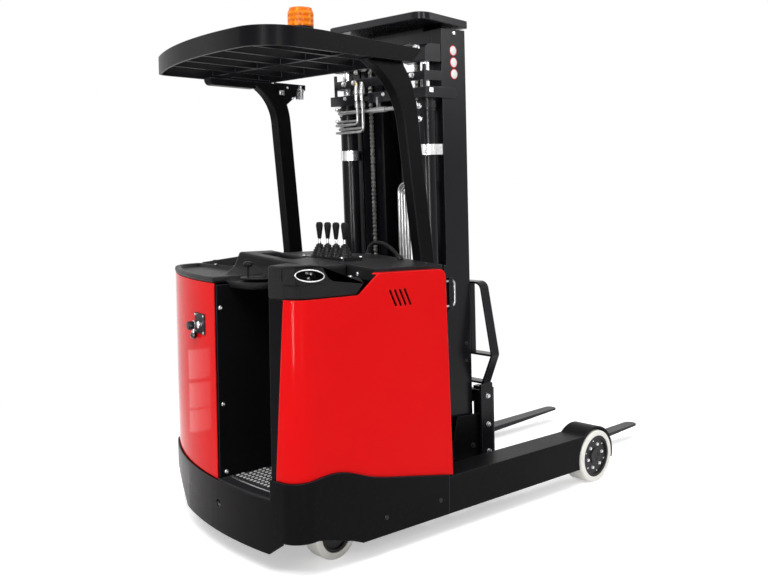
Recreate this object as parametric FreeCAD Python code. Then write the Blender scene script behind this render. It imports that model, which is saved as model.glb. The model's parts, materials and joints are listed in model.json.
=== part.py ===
# Stand-up reach truck: straddle legs, a stand-on operator's compartment at the rear, an overhead
# guard, and a three-stage mast that reaches forward along the legs and leans.
# Millimetres.  +X points to the fork tips, +Y to the truck's left, +Z up.  The floor is z = 0 and
# the origin is under the centre of the truck's bounding box.  The mast is stored fully back,
# leaning back a little, with its stages and the forks lowered.
import FreeCAD, Part
import math
import os

os.makedirs("parts", exist_ok=True)
Vec = FreeCAD.Vector

# ---------------------------------------------------------------- driving dimensions
seat = 0.3                    # gap between curved faces of different bodies
running = 0.05                # radial gap of a shaft in its bore
side_gap = 6.0                # gap between sliding or turning neighbours

# straddle legs
leg_outer_y = 627.0
leg_width = 136.0
leg_bottom_z = 80.0
leg_height = 156.0
leg_web = 16.0
leg_flange = 18.0
leg_box_length = 20.0         # closed end of the channel, ahead of the rollers' run

# load wheels
load_axle_x = 485.0
load_wheel_diameter = 250.0
load_wheel_width = 105.0
load_wheel_proud = 8.0        # the wheel's face stands out of the leg
load_hub_ratio = 0.8
load_axle_radius = 22.0
wheel_cover_radius = 144.0
wheel_cover_wall = 12.0
wheel_cover_cut_z = 96.0      # the cover is cut off level here

# plan of the body: one shallow arc at the rear, its apex right of the middle
rear_arc_radius = 1660.0
rear_arc_apex_x = -1352.0
rear_arc_apex_y = -330.0
rear_left_radius = 200.0
rear_right_radius = 90.0

# lower skirt
skirt_wall = 6.0
skirt_front_x = -548.0
skirt_top_left_z = 282.0
skirt_crest_z = 372.0         # highest point of the wave on the right
skirt_wave_end_x = -508.0
taper_bearing = 148.9         # the left rear corner draws in below, towards this bearing
taper_top_z = 190.0
taper_depth = 36.0            # at the bottom edge
tow_hole_y = -143.0
tow_hole_z = 194.0
tow_hole_radius = 17.0

# operator's compartment and covers
floor_z = 276.0
plate = 6.0
mat_thickness = 9.0
cover_inset = 8.0             # covers stand in from the skirt
cover_wall = 6.0
opening_left_y = -126.0
opening_right_y = -478.0
right_cover_edge_y = (-504.0, -557.0)   # rear edge of the right cover, at its foot and at its top
compartment_front_x = -900.0
left_cover_top_z = 1046.0
right_cover_low_z = 1014.0
right_cover_high_z = 1090.0
right_cover_slope_x = (-1030.0, -926.0)
right_cover_front_top_x = -566.0
right_cover_front_bottom_x = -512.0
cover_edge_radius = 34.0
cover_flange = 34.0           # the right cover's top flange
louvre_count = 4
louvre_size = (76.0, 12.0)    # length and width of one slot
louvre_pitch = 26.0
louvre_centre = (-815.0, 990.0)
louvre_slant = 62.0           # degrees from level
bulkhead_x = -556.0
bulkhead_plate = 8.0
deck_narrow_x = -800.0        # ahead of this the floor stays inside the covers

# console, lid and grip
tray_rim_z = 1070.0
tray_floor_z = 1054.0
tray_rim_width = 26.0
lid_rear_x = -914.0
lid_bottom_z = 1056.0
lid_edge_z = 1100.0
lid_left_z = 1072.0           # its left edge is lower
lid_crown_z = 1126.0          # the lid and the console rise to the middle
lid_crown_half = 210.0
lid_wall = 10.0
console_rear_x = -1118.0
console_top_z = 1150.0
console_left_y = 60.0
console_right_y = -426.0
console_slope = 0.082         # fall of the console's top towards the right
console_wall = 10.0
grip_top_z = 1137.0
grip_shelf_z = 1081.0
grip_hold_depth = 58.0
steer_centre = (-1186.0, -214.0)
steer_pod_z = 1052.0
steer_radius = 68.0
lever_x = -815.0
lever_first_y = -136.0
lever_pitch = 53.0
lever_count = 4
lever_top_z = 1270.0

# overhead guard
guard_top_z = 1972.0
guard_rail_height = 72.0
guard_rail_wall = 12.0
guard_half_width = 508.0
guard_arc_radius = 1860.0
guard_rear_x = -1362.0
guard_arc_y = -300.0
guard_left_radius = 60.0
guard_right_radius = 150.0
guard_front_drop = 16.0       # the rail's top falls this much to the front
guard_horn_x = (-640.0, -581.0)   # lower and upper end of the side rails
guard_bar_count = 5
guard_bar_pitch = 164.0
guard_bar_width = 12.0
guard_bar_height = 32.0
guard_bar_bottom_z = 1917.0
guard_cross_x = -900.0
guard_leg_width = 80.0
guard_leg_thickness = 50.0
guard_leg_y = 440.0
guard_leg_foot = (-510.0, 1040.0)
guard_leg_head = (-600.0, 1660.0)
guard_left_leg_shift = 34.0    # the left leg's head stands this much further ahead
guard_post_z = 300.0
guard_post_depth = 50.0
guard_tongue_z = 1868.0       # underside of the left leg's tongue
guard_tongue_x = (-975.0, -797.0)

# beacon
beacon_x = -1142.0
beacon_y = -440.0
beacon_radius = 47.0
beacon_lens_z = 1984.0
beacon_lens_height = 72.0
beacon_base_radius = 41.0

# rear wheels
drive_x = -1040.0
drive_y = 250.0
drive_wheel_diameter = 250.0
drive_wheel_width = 80.0
drive_hub_radius = 96.0
drive_cheek = 14.0
drive_side_room = 16.0        # between the wheel and the fork's cheeks, both sides together
caster_x = -1045.0
caster_y = -489.0
caster_diameter = 200.0
caster_width = 75.0
caster_hub_radius = 72.0
caster_trail = 20.0
caster_cheek = 8.0
caster_stem_radius = 30.0
drive_crown_radius = 90.0
rear_axle_radius = 12.0

# battery and drive motor, plain blocks under the covers
battery_x = (-880.0, -576.0)
battery_half_width = 470.0
battery_height = 520.0
motor_radius = 105.0
motor_height = 330.0

# mast
mast_lean = 2.2               # degrees back from upright, as parked
mast_pivot_x = -105.0
mast_pivot_z = 172.0
mast_pivot_radius = 25.0
mast_half_width = 300.0
mast_rear_x = -182.0
mast_front_x = -30.0
mast_bottom_z = 112.0
mast_top_z = 2106.0
rail_width = 60.0
rail_web = 12.0
rail_flange = 12.0
rail_gap = 6.0                # between neighbouring rails
stage_step = 10.0             # each inner stage starts this much higher
guide_roller_width = 34.0
guide_roller_z = 192.0        # rollers at the foot of the two moving stages
guide_stub_radius = 16.0
tie_plate = 10.0
tie_standoff = 22.0           # outer ties stand behind the rails, round the lift chains
low_tie_top_z = 360.0
mid_tie_z = (1000.0, 1070.0)
stage_tie_height = 36.0       # ties at the tops of the moving stages
stage_foot_height = 92.0
cap_rear_x = -320.0
cap_front_x = -29.0
cap_half_width = mast_half_width + 20
cap_thickness = 32.0
cap_corner_radius = 62.0
cap_rise = 25.0               # the cap's rear edge stands higher

# lift cylinders
lift_cylinder_x = -244.0
lift_cylinder_y = mast_half_width - 43
lift_barrel_radius = 43.0
lift_rod_radius = 22.0
lift_barrel_bottom_z = 150.0
lift_barrel_top_z = mast_top_z - 306
lift_floor = 30.0             # closed foot of a barrel
lift_gland_height = 46.0
free_cylinder_x = -104.0
free_cylinder_y = 46.0
free_barrel_radius = 32.0
free_rod_radius = 20.0
free_barrel_bottom_z = 142.0
free_barrel_top_z = mast_top_z - 866

# chains and sheaves
chain_width = 16.0
chain_thickness = 14.0
sheave_pitch_radius = 45.0
lift_chain_y = mast_half_width - 146    # behind the inner rails
lift_sheave_x = -237.0
lift_sheave_drop = 106.0      # sheave centre below the top of the mast
lift_lug_half_height = 38.0
lift_chain_foot_z = 400.0
fork_chain_offset = 26.0      # of each fork chain from the free lift cylinder
fork_sheave_lift = 62.0       # sheave centre above the free barrel
fork_chain_foot_z = 440.0
chain_notch = 5.5             # room round a chain in the bar that slides along it

# brackets and pipes on the outer mast
hose_bracket_z = (mast_top_z - 298, mast_top_z - 254)
hose_bracket_plate = 12.0
hose_bracket_front_x = -110.0
anchor_bar_z = (mast_top_z - 222, mast_top_z - 184)
pipe_radius = 6.0
short_bend = 16.0
cross_tube_z = mast_top_z - 334
cross_tube_radius = 9.0
left_pipe_z = mast_top_z - 374
pipe_reach_y = mast_half_width - 50           # left ends of the cross tube and the bent pipes
first_riser_y = 112.0
left_pipe_pitch = 17.0
centre_pipe_x = -238.0
centre_pipe_y = -64.0
centre_pipe_pitch = 18.0
centre_pipe_top_z = mast_top_z - 666
band_z = mast_top_z - 544
band_height = 46.0
band_wall = 4.0
handle_z = (888.0, 1000.0)
handle_reach_x = -150.0
handle_rod = 6.5

# reach carriage
reach_plate = 16.0
reach_plate_height = 362.0
reach_arm_top_z = 214.0
reach_plate_bottom_z = 104.0
reach_plate_front_x = 6.0
reach_plate_rear_x = -444.0
reach_roller_x = (-190.0, -414.0)
reach_roller_width = 60.0
reach_stub_radius = 24.0
reach_barrel_radius = 38.0
reach_rod_radius = 20.0
reach_barrel_x = (-1010.0, -570.0)

# tilt cylinders: foot pin on the carriage, head pin on the mast, both as parked
tilt_y = mast_half_width - 130
tilt_foot = (-392.0, 236.0)
tilt_head = (-243.0, 296.0)
tilt_barrel_radius = 21.0
tilt_rod_radius = 12.0
tilt_foot_pin = 10.0
tilt_head_pin = 9.0
tilt_eye_play = 1.2           # the rod's eye rides loosely on the mast's pin
tilt_eye_half = 18.0
tilt_lug = 12.0

# fork carriage, forks and load backrest
fork_length = 1270.0
fork_width = 100.0
fork_thickness = 36.0
fork_centre_y = 280.0
fork_shank_height = 470.0
fork_face_x = 92.0           # front face of the shanks
fork_bottom_z = 4.0
fork_tip_drop = 12.0          # the blade falls this much towards its tip
carriage_half_width = mast_half_width + 31
carriage_bar = 30.0
carriage_low_bar_z = (86.0, 150.0)
carriage_high_bar_z = (400.0, 460.0)
carriage_top_z = 500.0
carriage_end_plate = 12.0
cheek_thickness = 14.0
carriage_roller_z = (180.0, 420.0)
backrest_top_z = 978.0
backrest_knee_z = 640.0
backrest_half_top = 336.0
backrest_half_knee = 400.0
backrest_half_foot = 343.0
backrest_depth = 50.0
backrest_bar = 10.0
backrest_post_y = (-262.0, -90.0, 90.0, 262.0)


# ---------------------------------------------------------------- helpers
def box(x0, x1, y0, y1, z0, z1):
    """Box between two corners."""
    return Part.makeBox(x1 - x0, y1 - y0, z1 - z0, Vec(x0, y0, z0))


def rod(start, end, radius):
    """Cylinder from one point to another."""
    a = Vec(*start)
    b = Vec(*end)
    return Part.makeCylinder(radius, a.distanceToPoint(b), a, b - a)


def tube(start, end, outer, inner):
    return rod(start, end, outer).cut(rod(start, end, inner))


def post(x, y, z0, z1, radius):
    """Upright cylinder."""
    return rod((x, y, z0), (x, y, z1), radius)


def across(x, z, y0, y1, radius):
    """Cylinder along y."""
    return rod((x, y0, z), (x, y1, z), radius)


def rounded_wire(corners, place):
    """Closed outline through corners (u, v, radius), mapped to space by place(u, v)."""
    points = [Vec(u, v, 0) for u, v, r in corners]
    count = len(points)
    nodes = []
    for i, (u, v, radius) in enumerate(corners):
        here = points[i]
        back = (points[i - 1] - here).normalize()
        ahead = (points[(i + 1) % count] - here).normalize()
        if radius <= 0:
            nodes.append((here, None, here))
            continue
        half = back.getAngle(ahead) / 2
        run = radius / math.tan(half)
        bisector = (back + ahead).normalize()
        middle = here + bisector * (radius / math.sin(half) - radius)
        nodes.append((here + back * run, middle, here + ahead * run))
    edges = []
    for i, (start, middle, end) in enumerate(nodes):
        start_at, end_at = place(start.x, start.y), place(end.x, end.y)
        if middle is not None:
            edges.append(Part.Arc(start_at, place(middle.x, middle.y), end_at).toShape())
        following = nodes[(i + 1) % count][0]
        if end.distanceToPoint(following) > 1e-6:
            edges.append(Part.makeLine(end_at, place(following.x, following.y)))
    return Part.Wire(edges)


def plan(corners, z0, z1):
    """Outline in plan, extruded from z0 to z1."""
    face = Part.Face(rounded_wire(corners, lambda u, v: Vec(u, v, z0)))
    return face.extrude(Vec(0, 0, z1 - z0))


def side(corners, y0, y1):
    """Outline seen from the side (x, z), extruded from y0 to y1."""
    face = Part.Face(rounded_wire(corners, lambda u, v: Vec(u, y0, v)))
    return face.extrude(Vec(0, y1 - y0, 0))


def front(corners, x0, x1):
    """Outline seen from the front (y, z), extruded from x0 to x1."""
    face = Part.Face(rounded_wire(corners, lambda u, v: Vec(x0, u, v)))
    return face.extrude(Vec(x1 - x0, 0, 0))


def turned(profile, x, y):
    """Solid of revolution about an upright axis from (radius, z) points."""
    ring = [(0, profile[0][1], 0)] + [(r, z, 0) for r, z in profile] + [(0, profile[-1][1], 0)]
    face = Part.Face(rounded_wire(ring, lambda u, v: Vec(x + u, y, v)))
    return face.revolve(Vec(x, y, 0), Vec(0, 0, 1), 360)


def pipe(points, radius, bend):
    """Round pipe along straight runs joined by tangent arcs."""
    corners = [Vec(*p) for p in points]
    edges = []
    start = corners[0]
    for before, here, after in zip(corners, corners[1:], corners[2:]):
        back = (before - here).normalize()
        ahead = (after - here).normalize()
        half = back.getAngle(ahead) / 2
        run = bend / math.tan(half)
        middle = here + (back + ahead).normalize() * (bend / math.sin(half) - bend)
        edges.append(Part.makeLine(start, here + back * run))
        edges.append(Part.Arc(here + back * run, middle, here + ahead * run).toShape())
        start = here + ahead * run
    edges.append(Part.makeLine(start, corners[-1]))
    circle = Part.makeCircle(radius, corners[0], corners[1] - corners[0])
    return Part.Wire(edges).makePipeShell([Part.Wire([circle])], True, False)


def mirrored(shape):
    """The same piece on the other side of the truck."""
    return shape.mirror(Vec(0, 0, 0), Vec(0, 1, 0))


def both(shape):
    return [shape, mirrored(shape)]


def fuse(pieces):
    whole = pieces[0].fuse(pieces[1:]) if len(pieces) > 1 else pieces[0]
    return whole.removeSplitter()


def leaned(shape):
    """A mast piece, drawn upright, set at the mast's parked lean."""
    parked = shape.copy()
    parked.rotate(Vec(mast_pivot_x, 0, mast_pivot_z), Vec(0, 1, 0), -mast_lean)
    return parked


def upright(point):
    """A parked (x, z) point, as drawn on the upright mast."""
    dx, dz = point[0] - mast_pivot_x, point[1] - mast_pivot_z
    angle = math.radians(mast_lean)
    return (mast_pivot_x + dx * math.cos(angle) + dz * math.sin(angle),
            mast_pivot_z - dx * math.sin(angle) + dz * math.cos(angle))


def save(name, shape):
    shape.exportStep("parts/" + name + ".step")
    print(name, len(shape.Solids), round(shape.Volume / 1e6, 3))


# ---------------------------------------------------------------- plan outlines of the body
def rear_x(y, radius=rear_arc_radius, apex_x=rear_arc_apex_x, apex_y=rear_arc_apex_y):
    """Place of the shallow rear arc at a given y."""
    return apex_x + radius - math.sqrt(radius ** 2 - (y - apex_y) ** 2)


def arc_plan(radius, apex_x, apex_y, half, front_x, left_radius, right_radius, z):
    """Face at height z: straight sides, a shallow rear arc and rounded rear corners."""
    centre = Vec(apex_x + radius, apex_y, z)

    def corner(sign, fillet):
        y = sign * (half - fillet)
        x = centre.x - math.sqrt((radius - fillet) ** 2 - (y - centre.y) ** 2)
        middle = Vec(x, y, z)
        outward = (middle - centre).normalize()
        between = (outward + Vec(0, sign, 0)).normalize()
        return middle + outward * fillet, middle + between * fillet, Vec(x, sign * half, z)

    left_arc, left_mid, left_side = corner(1, left_radius)
    right_arc, right_mid, right_side = corner(-1, right_radius)
    edges = [Part.Arc(left_side, left_mid, left_arc).toShape(),
             Part.Arc(left_arc, Vec(apex_x, apex_y, z), right_arc).toShape(),
             Part.Arc(right_arc, right_mid, right_side).toShape(),
             Part.makeLine(right_side, Vec(front_x, -half, z)),
             Part.makeLine(Vec(front_x, -half, z), Vec(front_x, half, z)),
             Part.makeLine(Vec(front_x, half, z), left_side)]
    return Part.Face(Part.Wire(edges))


def body_prism(inset, z0, z1, front_x):
    """The body's plan, drawn in by an inset, between two heights."""
    face = arc_plan(rear_arc_radius - inset, rear_arc_apex_x + inset, rear_arc_apex_y, leg_outer_y - inset,
                    front_x, rear_left_radius - inset, rear_right_radius - inset, z0)
    return face.extrude(Vec(0, 0, z1 - z0))


behind = rear_arc_apex_x - 60     # well clear of the body, for cutting boxes
beside = leg_outer_y + 60
above = guard_top_z + 400


# ---------------------------------------------------------------- chassis
leg_top_z = leg_bottom_z + leg_height
leg_inner_y = leg_outer_y - leg_width
leg_middle_z = leg_bottom_z + leg_height / 2
load_axle_z = load_wheel_diameter / 2
channel_end_x = load_axle_x - wheel_cover_radius - leg_box_length


def leg_right():
    """Channel open to the middle, closed at its front end by the load wheel's cover."""
    outer = -leg_outer_y
    inner = -leg_inner_y
    room = wheel_cover_radius - wheel_cover_wall
    beam = box(skirt_front_x, load_axle_x, outer, inner, leg_bottom_z, leg_top_z)
    cover = across(load_axle_x, load_axle_z, outer, inner, wheel_cover_radius)
    cover = cover.cut(box(load_axle_x - 400, load_axle_x + 400, outer - 10, inner + 10, -100, wheel_cover_cut_z))
    leg = beam.fuse(cover).removeSplitter()
    leg = leg.cut(box(skirt_front_x - 1, channel_end_x, outer + leg_web, inner + 1,
                      leg_bottom_z + leg_flange, leg_top_z - leg_flange))
    leg = leg.cut(across(load_axle_x, load_axle_z, outer - 20, inner - wheel_cover_wall, room))
    leg = leg.cut(box(load_axle_x - room + 20, load_axle_x + 10, outer - 1, inner + 1, 0, wheel_cover_cut_z))
    axle = across(load_axle_x, load_axle_z, outer - load_wheel_proud + 14, inner - wheel_cover_wall,
                  load_axle_radius)
    return leg.fuse(axle)


def wheel(x, y0, y1, z, radius, hub_radius, bore):
    """Tyre and hub of a wheel on an axle along y; the hub's outer side is dished."""
    tyre = across(x, z, y0, y1, radius)
    tyre = tyre.makeFillet(8, [e for e in tyre.Edges if len(e.Vertexes) == 1])
    tyre = tyre.cut(across(x, z, y0 - 1, y1 + 1, hub_radius))
    hub = across(x, z, y0 + 4, y1 - 4, hub_radius).cut(across(x, z, y0 - 1, y1 + 1, bore))
    dish = across(x, z, y0 + 3, y0 + 12, hub_radius - 12).cut(across(x, z, y0 + 3, y0 + 12, bore + 16))
    return tyre, hub.cut(dish)


def under_wave():
    """What lies under the skirt's upper edge on the right: a crest, then a long fall to the leg."""
    wave = [Vec(behind, 0, skirt_crest_z - 10), Vec(-1250, 0, skirt_crest_z - 6), Vec(-1134, 0, skirt_crest_z),
            Vec(-986, 0, skirt_crest_z - 44), Vec(-829, 0, skirt_crest_z - 78), Vec(-663, 0, leg_top_z + 28),
            Vec(skirt_wave_end_x, 0, leg_top_z)]
    curve = Part.BSplineCurve()
    curve.interpolate(wave)
    foot_start = Vec(wave[0].x, 0, 0)
    foot_end = Vec(wave[-1].x, 0, 0)
    ring = Part.Wire([curve.toShape(), Part.makeLine(wave[-1], foot_end), Part.makeLine(foot_end, foot_start),
                      Part.makeLine(foot_start, wave[0])])
    solid = Part.Face(ring).extrude(Vec(0, beside + opening_right_y - plate, 0))
    solid.translate(Vec(0, -beside, 0))
    return solid


def taper_wedge(shift):
    """What the left rear corner loses below, the sloping plane moved in by a shift."""
    bearing = math.radians(taper_bearing)
    out = Vec(math.cos(bearing), math.sin(bearing), 0)
    along = Vec(-out.y, out.x, 0)
    fillet_y = leg_outer_y - rear_left_radius
    centre_x = rear_arc_apex_x + rear_arc_radius
    fillet_x = centre_x - math.sqrt((rear_arc_radius - rear_left_radius) ** 2 - (fillet_y - rear_arc_apex_y) ** 2)
    reach = out.dot(Vec(fillet_x, fillet_y, 0)) + rear_left_radius - shift
    low = leg_bottom_z - 20
    inward = taper_depth * (taper_top_z - low) / (taper_top_z - leg_bottom_z)
    corners = [(reach, taper_top_z, 0), (reach - inward, low, 0), (reach + 200, low, 0), (reach + 200, taper_top_z, 0)]
    wire = rounded_wire(corners, lambda u, v: out * u + Vec(0, 0, v) - along * 700)
    return Part.Face(wire).extrude(along * 1400)


def chassis_skirt():
    """Lower shell: an arc at the rear, a wavy upper edge that falls to the legs on the right."""
    high = skirt_crest_z + 60
    outer = body_prism(0, leg_bottom_z, high, skirt_front_x).cut(taper_wedge(0))
    inner = body_prism(skirt_wall, leg_bottom_z - 1, high + 1, skirt_front_x + 1).cut(taper_wedge(skirt_wall))
    shell = outer.cut(inner)
    wall_y = opening_right_y - plate
    right = shell.common(under_wave())
    left = shell.common(box(behind, 0, wall_y, beside, 0, skirt_top_left_z))
    lip = box(behind, -1200, wall_y, opening_left_y, floor_z + mat_thickness, skirt_top_left_z + 100)
    shell = fuse([right, left]).cut(lip)
    side_notch = side([(-1400, 0, 0), (-1002, 0, 0), (-1014, leg_bottom_z - 2, 20), (-1076, 102, 60),
                       (-1231, 142, 60), (-1400, 134, 0)], -beside, -leg_outer_y + 80)
    rear_notch = front([(-beside, 0, 0), (-476, 0, 0), (-476, leg_bottom_z, 0), (-548, 130, 20), (-beside, 138, 0)],
                       behind, -1290)
    shell = shell.cut(side_notch).cut(rear_notch)
    return shell.cut(rod((behind, tow_hole_y, tow_hole_z), (-1300, tow_hole_y, tow_hole_z), tow_hole_radius))


def chassis_deck():
    """Floor of the body, the bulkhead ahead of the battery and the cross beams between the legs."""
    under = floor_z - plate
    inside_covers = leg_outer_y - cover_inset - cover_wall - 2
    floor = body_prism(skirt_wall, under, floor_z, bulkhead_x)
    bulkhead = box(bulkhead_x, bulkhead_x + bulkhead_plate, -inside_covers + 2, inside_covers - 2,
                   leg_bottom_z, lid_bottom_z)
    beam = box(bulkhead_x - 144, bulkhead_x, -inside_covers, inside_covers, 120, under)
    beam = beam.cut(box(bulkhead_x - 136, bulkhead_x - 8, -beside, beside, 128, under - 8))
    for sign in (-1, 1):
        inside, outside = sorted((sign * inside_covers, sign * leg_outer_y))
        floor = floor.cut(box(deck_narrow_x, bulkhead_x + 1, inside, outside, 0, above))
    ram = rod((bulkhead_x - 164, 0, leg_middle_z), (bulkhead_x + 56, 0, leg_middle_z), reach_barrel_radius + 12)
    floor = floor.cut(post(drive_x, drive_y, 0, 400, drive_crown_radius))
    floor = floor.cut(post(caster_x, caster_y, 0, 400, caster_stem_radius + running))
    return fuse([floor, bulkhead.cut(ram), beam.cut(ram)])


def floor_mat():
    front_x = compartment_front_x - plate
    mat = body_prism(skirt_wall, floor_z, floor_z + mat_thickness, front_x)
    return mat.common(box(behind, front_x, opening_right_y + 2, opening_left_y - plate, 0, above))


def side_cover_right():
    """Moulded right cover: rounded rear corner, a step up half way, a raked front edge, four slots."""
    low = leg_bottom_z + 100
    outer = body_prism(cover_inset, low, right_cover_high_z, skirt_wave_end_x)
    inner = body_prism(cover_inset + cover_wall, low - 1, right_cover_high_z - cover_wall, skirt_wave_end_x + 20)
    s0, s1 = right_cover_slope_x
    outline = [(behind, low - 20, 0), (right_cover_front_bottom_x, low - 20, 0),
               (right_cover_front_top_x, right_cover_high_z - 4, cover_edge_radius),
               (s1, right_cover_high_z, 26), (s0, right_cover_low_z, 26), (behind, right_cover_low_z, 0)]
    shell = outer.cut(inner).common(side(outline, -leg_outer_y, opening_right_y - plate))
    flange_y = -leg_outer_y + cover_inset + cover_flange
    shell = shell.cut(box(s0 - 60, skirt_wave_end_x, flange_y, 0, right_cover_low_z - 60, above))
    shell = shell.cut(under_wave())
    edge_low, edge_high = right_cover_edge_y
    shell = shell.cut(front([(0, floor_z, 0), (edge_low, floor_z, 0), (edge_high, right_cover_low_z + 1, 0),
                             (0, right_cover_low_z + 1, 0)], behind, steer_centre[0]))
    half_long, half_wide = louvre_size[0] / 2, louvre_size[1] / 2
    cx, cz = louvre_centre
    for i in range(louvre_count):
        slot = side([(-half_long, -half_wide, 4), (half_long, -half_wide, 4), (half_long, half_wide, 4),
                     (-half_long, half_wide, 4)], -beside, flange_y)
        slot.rotate(Vec(0, 0, 0), Vec(0, 1, 0), louvre_slant)
        slot.translate(Vec(cx + (i - (louvre_count - 1) / 2) * louvre_pitch, 0, cz))
        shell = shell.cut(slot)
    return shell


def rear_cover_left():
    """Rear panel and left side of the power compartment, one bent sheet."""
    outer = body_prism(cover_inset, skirt_top_left_z, left_cover_top_z, bulkhead_x)
    inner = body_prism(cover_inset + cover_wall, skirt_top_left_z - 1, left_cover_top_z + 1, bulkhead_x + 1)
    return outer.cut(inner).common(box(behind, bulkhead_x, opening_left_y, beside, 0, above))


def compartment_rear(y):
    """Rear end of a compartment wall, just inside the covers."""
    return rear_x(y) + cover_inset + cover_wall + 2


def inner_panel():
    """Black sheet walls of the operator's compartment: left and front."""
    top = left_cover_top_z - 6
    left = box(compartment_rear(opening_left_y), compartment_front_x, opening_left_y - plate, opening_left_y,
               floor_z, top)
    ahead = box(compartment_front_x - plate, compartment_front_x, opening_right_y, opening_left_y, floor_z, top)
    return fuse([left, ahead])


def pillar():
    """Right wall of the compartment, with a flange that runs in behind the right cover's edge."""
    wall = box(compartment_rear(opening_right_y), compartment_front_x, opening_right_y - plate, opening_right_y,
               floor_z, right_cover_low_z)
    inset = cover_inset + cover_wall + seat
    flange = body_prism(inset, floor_z, right_cover_low_z, steer_centre[0])
    flange = flange.cut(body_prism(inset + plate, floor_z - 1, above, steer_centre[0] + 1))
    return fuse([wall, flange.common(box(behind, steer_centre[0] - 60, right_cover_edge_y[1] - 14, opening_right_y,
                                         floor_z, right_cover_low_z))])


def crown(base_z, edge_y, y0, y1, x0, x1):
    """Block whose top rises from lid_edge_z at the sides to lid_crown_z in the middle."""
    return front([(-edge_y, base_z, 0), (edge_y, base_z, 0), (edge_y, lid_left_z, 8), (lid_crown_half, lid_crown_z, 120),
                  (-lid_crown_half, lid_crown_z, 120), (-edge_y, lid_edge_z, 10)], x0, x1).common(
                      box(x0, x1, y0, y1, base_z, above))


def console_block(inset, base_z):
    """The raised part of the console: it falls towards the right and its left end is raked."""
    left = console_left_y - inset
    right = console_right_y + inset
    fall = (left - right) * console_slope
    top = console_top_z - inset
    ends = front([(right, base_z, 0), (left + 66, base_z, 0), (left, top, 12), (right, top - fall, 12)],
                 console_rear_x - 40, lid_rear_x)
    rise = side([(console_rear_x + inset, base_z, 0), (lid_rear_x - inset, base_z, 0), (lid_rear_x - inset, above, 0),
                 (console_rear_x + 34 + inset, above, 0), (console_rear_x + 34 + inset, top - 60, 30)],
                right - 40, left + 90)
    return ends.common(rise)


def display_room(wall):
    """Sunk place for the display in the console's top, grown by a wall below and around."""
    return box(lid_rear_x - 110 - wall, lid_rear_x - 20 + wall, -190 - wall, -10 + wall,
               console_top_z - 40 - wall, above)


def console_top():
    """Moulded console: a rimmed tray at the left, the steering pod and a raised middle."""
    z0 = left_cover_top_z
    tray = body_prism(cover_inset - 2, z0, tray_rim_z, lid_rear_x)
    tray = tray.common(box(behind, 0, opening_left_y, beside, 0, above))
    recess = body_prism(cover_inset + tray_rim_width, tray_floor_z, above, lid_rear_x - tray_rim_width)
    recess = recess.common(box(behind, 0, opening_left_y + tray_rim_width, beside, 0, above))
    wall = opening_left_y
    pod = plan([(steer_centre[0] - 82, wall, 0), (steer_centre[0] - 82, wall - 166, 70),
                (steer_centre[0] + 84, wall - 178, 70), (steer_centre[0] + 140, wall, 0)],
               steer_pod_z - 26, steer_pod_z)
    pod = pod.cut(box(behind, 0, wall - plate, wall, 0, z0 - 6))
    pod = fuse([pod, box(steer_centre[0] - 82, steer_centre[0] + 140, wall, wall + 30, z0, steer_pod_z)])
    hump = console_block(0, tray_floor_z - 4).cut(console_block(console_wall, z0 - 1))
    hump = hump.cut(display_room(0)).fuse(console_block(1, z0).common(display_room(console_wall)).cut(display_room(0)))
    return fuse([tray.cut(recess), pod, hump])


def power_lid():
    """Black lid over the battery: highest in the middle, its rear wall facing the operator."""
    edge = leg_outer_y - cover_inset - cover_wall
    right = -leg_outer_y + cover_inset + cover_flange
    outline = body_prism(cover_inset + cover_wall + 1, lid_bottom_z, above, bulkhead_x + bulkhead_plate)
    lid = crown(lid_bottom_z, edge, right, edge, lid_rear_x, bulkhead_x + bulkhead_plate).common(outline)
    hollow = crown(lid_bottom_z, edge, right + lid_wall, edge - lid_wall, lid_rear_x + lid_wall,
                   bulkhead_x + bulkhead_plate - lid_wall)
    hollow.translate(Vec(0, 0, -lid_wall))
    return lid.cut(hollow)


def grip_console():
    """Rear right console head: a high rear part with a hand hold in its side, then a low shelf."""
    rear = compartment_rear(opening_right_y) - 20
    s0, s1 = right_cover_slope_x
    low = right_cover_low_z
    outline = [(rear, low, 0), (s0 - 8, low, 0), (s0 + 34, low + 44, 6), (s0 + 8, grip_shelf_z, 14),
               (-1150, grip_shelf_z, 34), (-1196, grip_top_z - 12, 34), (-1250, grip_top_z, 40),
               (rear, grip_top_z - 6, 0)]
    head = side(outline, -leg_outer_y, opening_right_y)
    head = head.common(body_prism(cover_inset, low, above, skirt_wave_end_x))
    ease = side([(rear, grip_shelf_z + 20, 0), (rear, above, 0), (s0, above, 0), (s0, grip_shelf_z + 20, 0)],
                -beside, -leg_outer_y + cover_inset)
    hold = side([(rear - 10, grip_shelf_z - 6, 20), (-1166, grip_shelf_z - 6, 16), (-1206, grip_top_z - 15, 20),
                 (rear - 10, grip_top_z - 14, 20)], -beside, -leg_outer_y + cover_inset + grip_hold_depth)
    return head.cut(ease).cut(hold)


def steering_wheel():
    """A dished wheel with a spinner knob, on a short post above the pod."""
    x, y = steer_centre
    z = steer_pod_z + side_gap
    rim = steer_radius
    dish = turned([(16, z - side_gap + seat), (16, z), (rim - 6, z), (rim, z + 4), (rim, z + 9), (rim - 8, z + 11),
                   (rim * 0.46, z + 7), (rim * 0.46, z + 12)], x, y)
    knob_x, knob_y = x - 28, y + 27
    knob = turned([(4.5, z + 6), (4.5, z + 48), (15, z + 50), (19, z + 57), (17, z + 65), (8, z + 70)], knob_x, knob_y)
    return fuse([dish, knob])


def lid_height(y):
    """Top of the lid at a given y."""
    edge = leg_outer_y - cover_inset - cover_wall
    share = max(0.0, abs(y) - lid_crown_half) / (edge - lid_crown_half)
    return lid_crown_z - share * (lid_crown_z - lid_edge_z)


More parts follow.
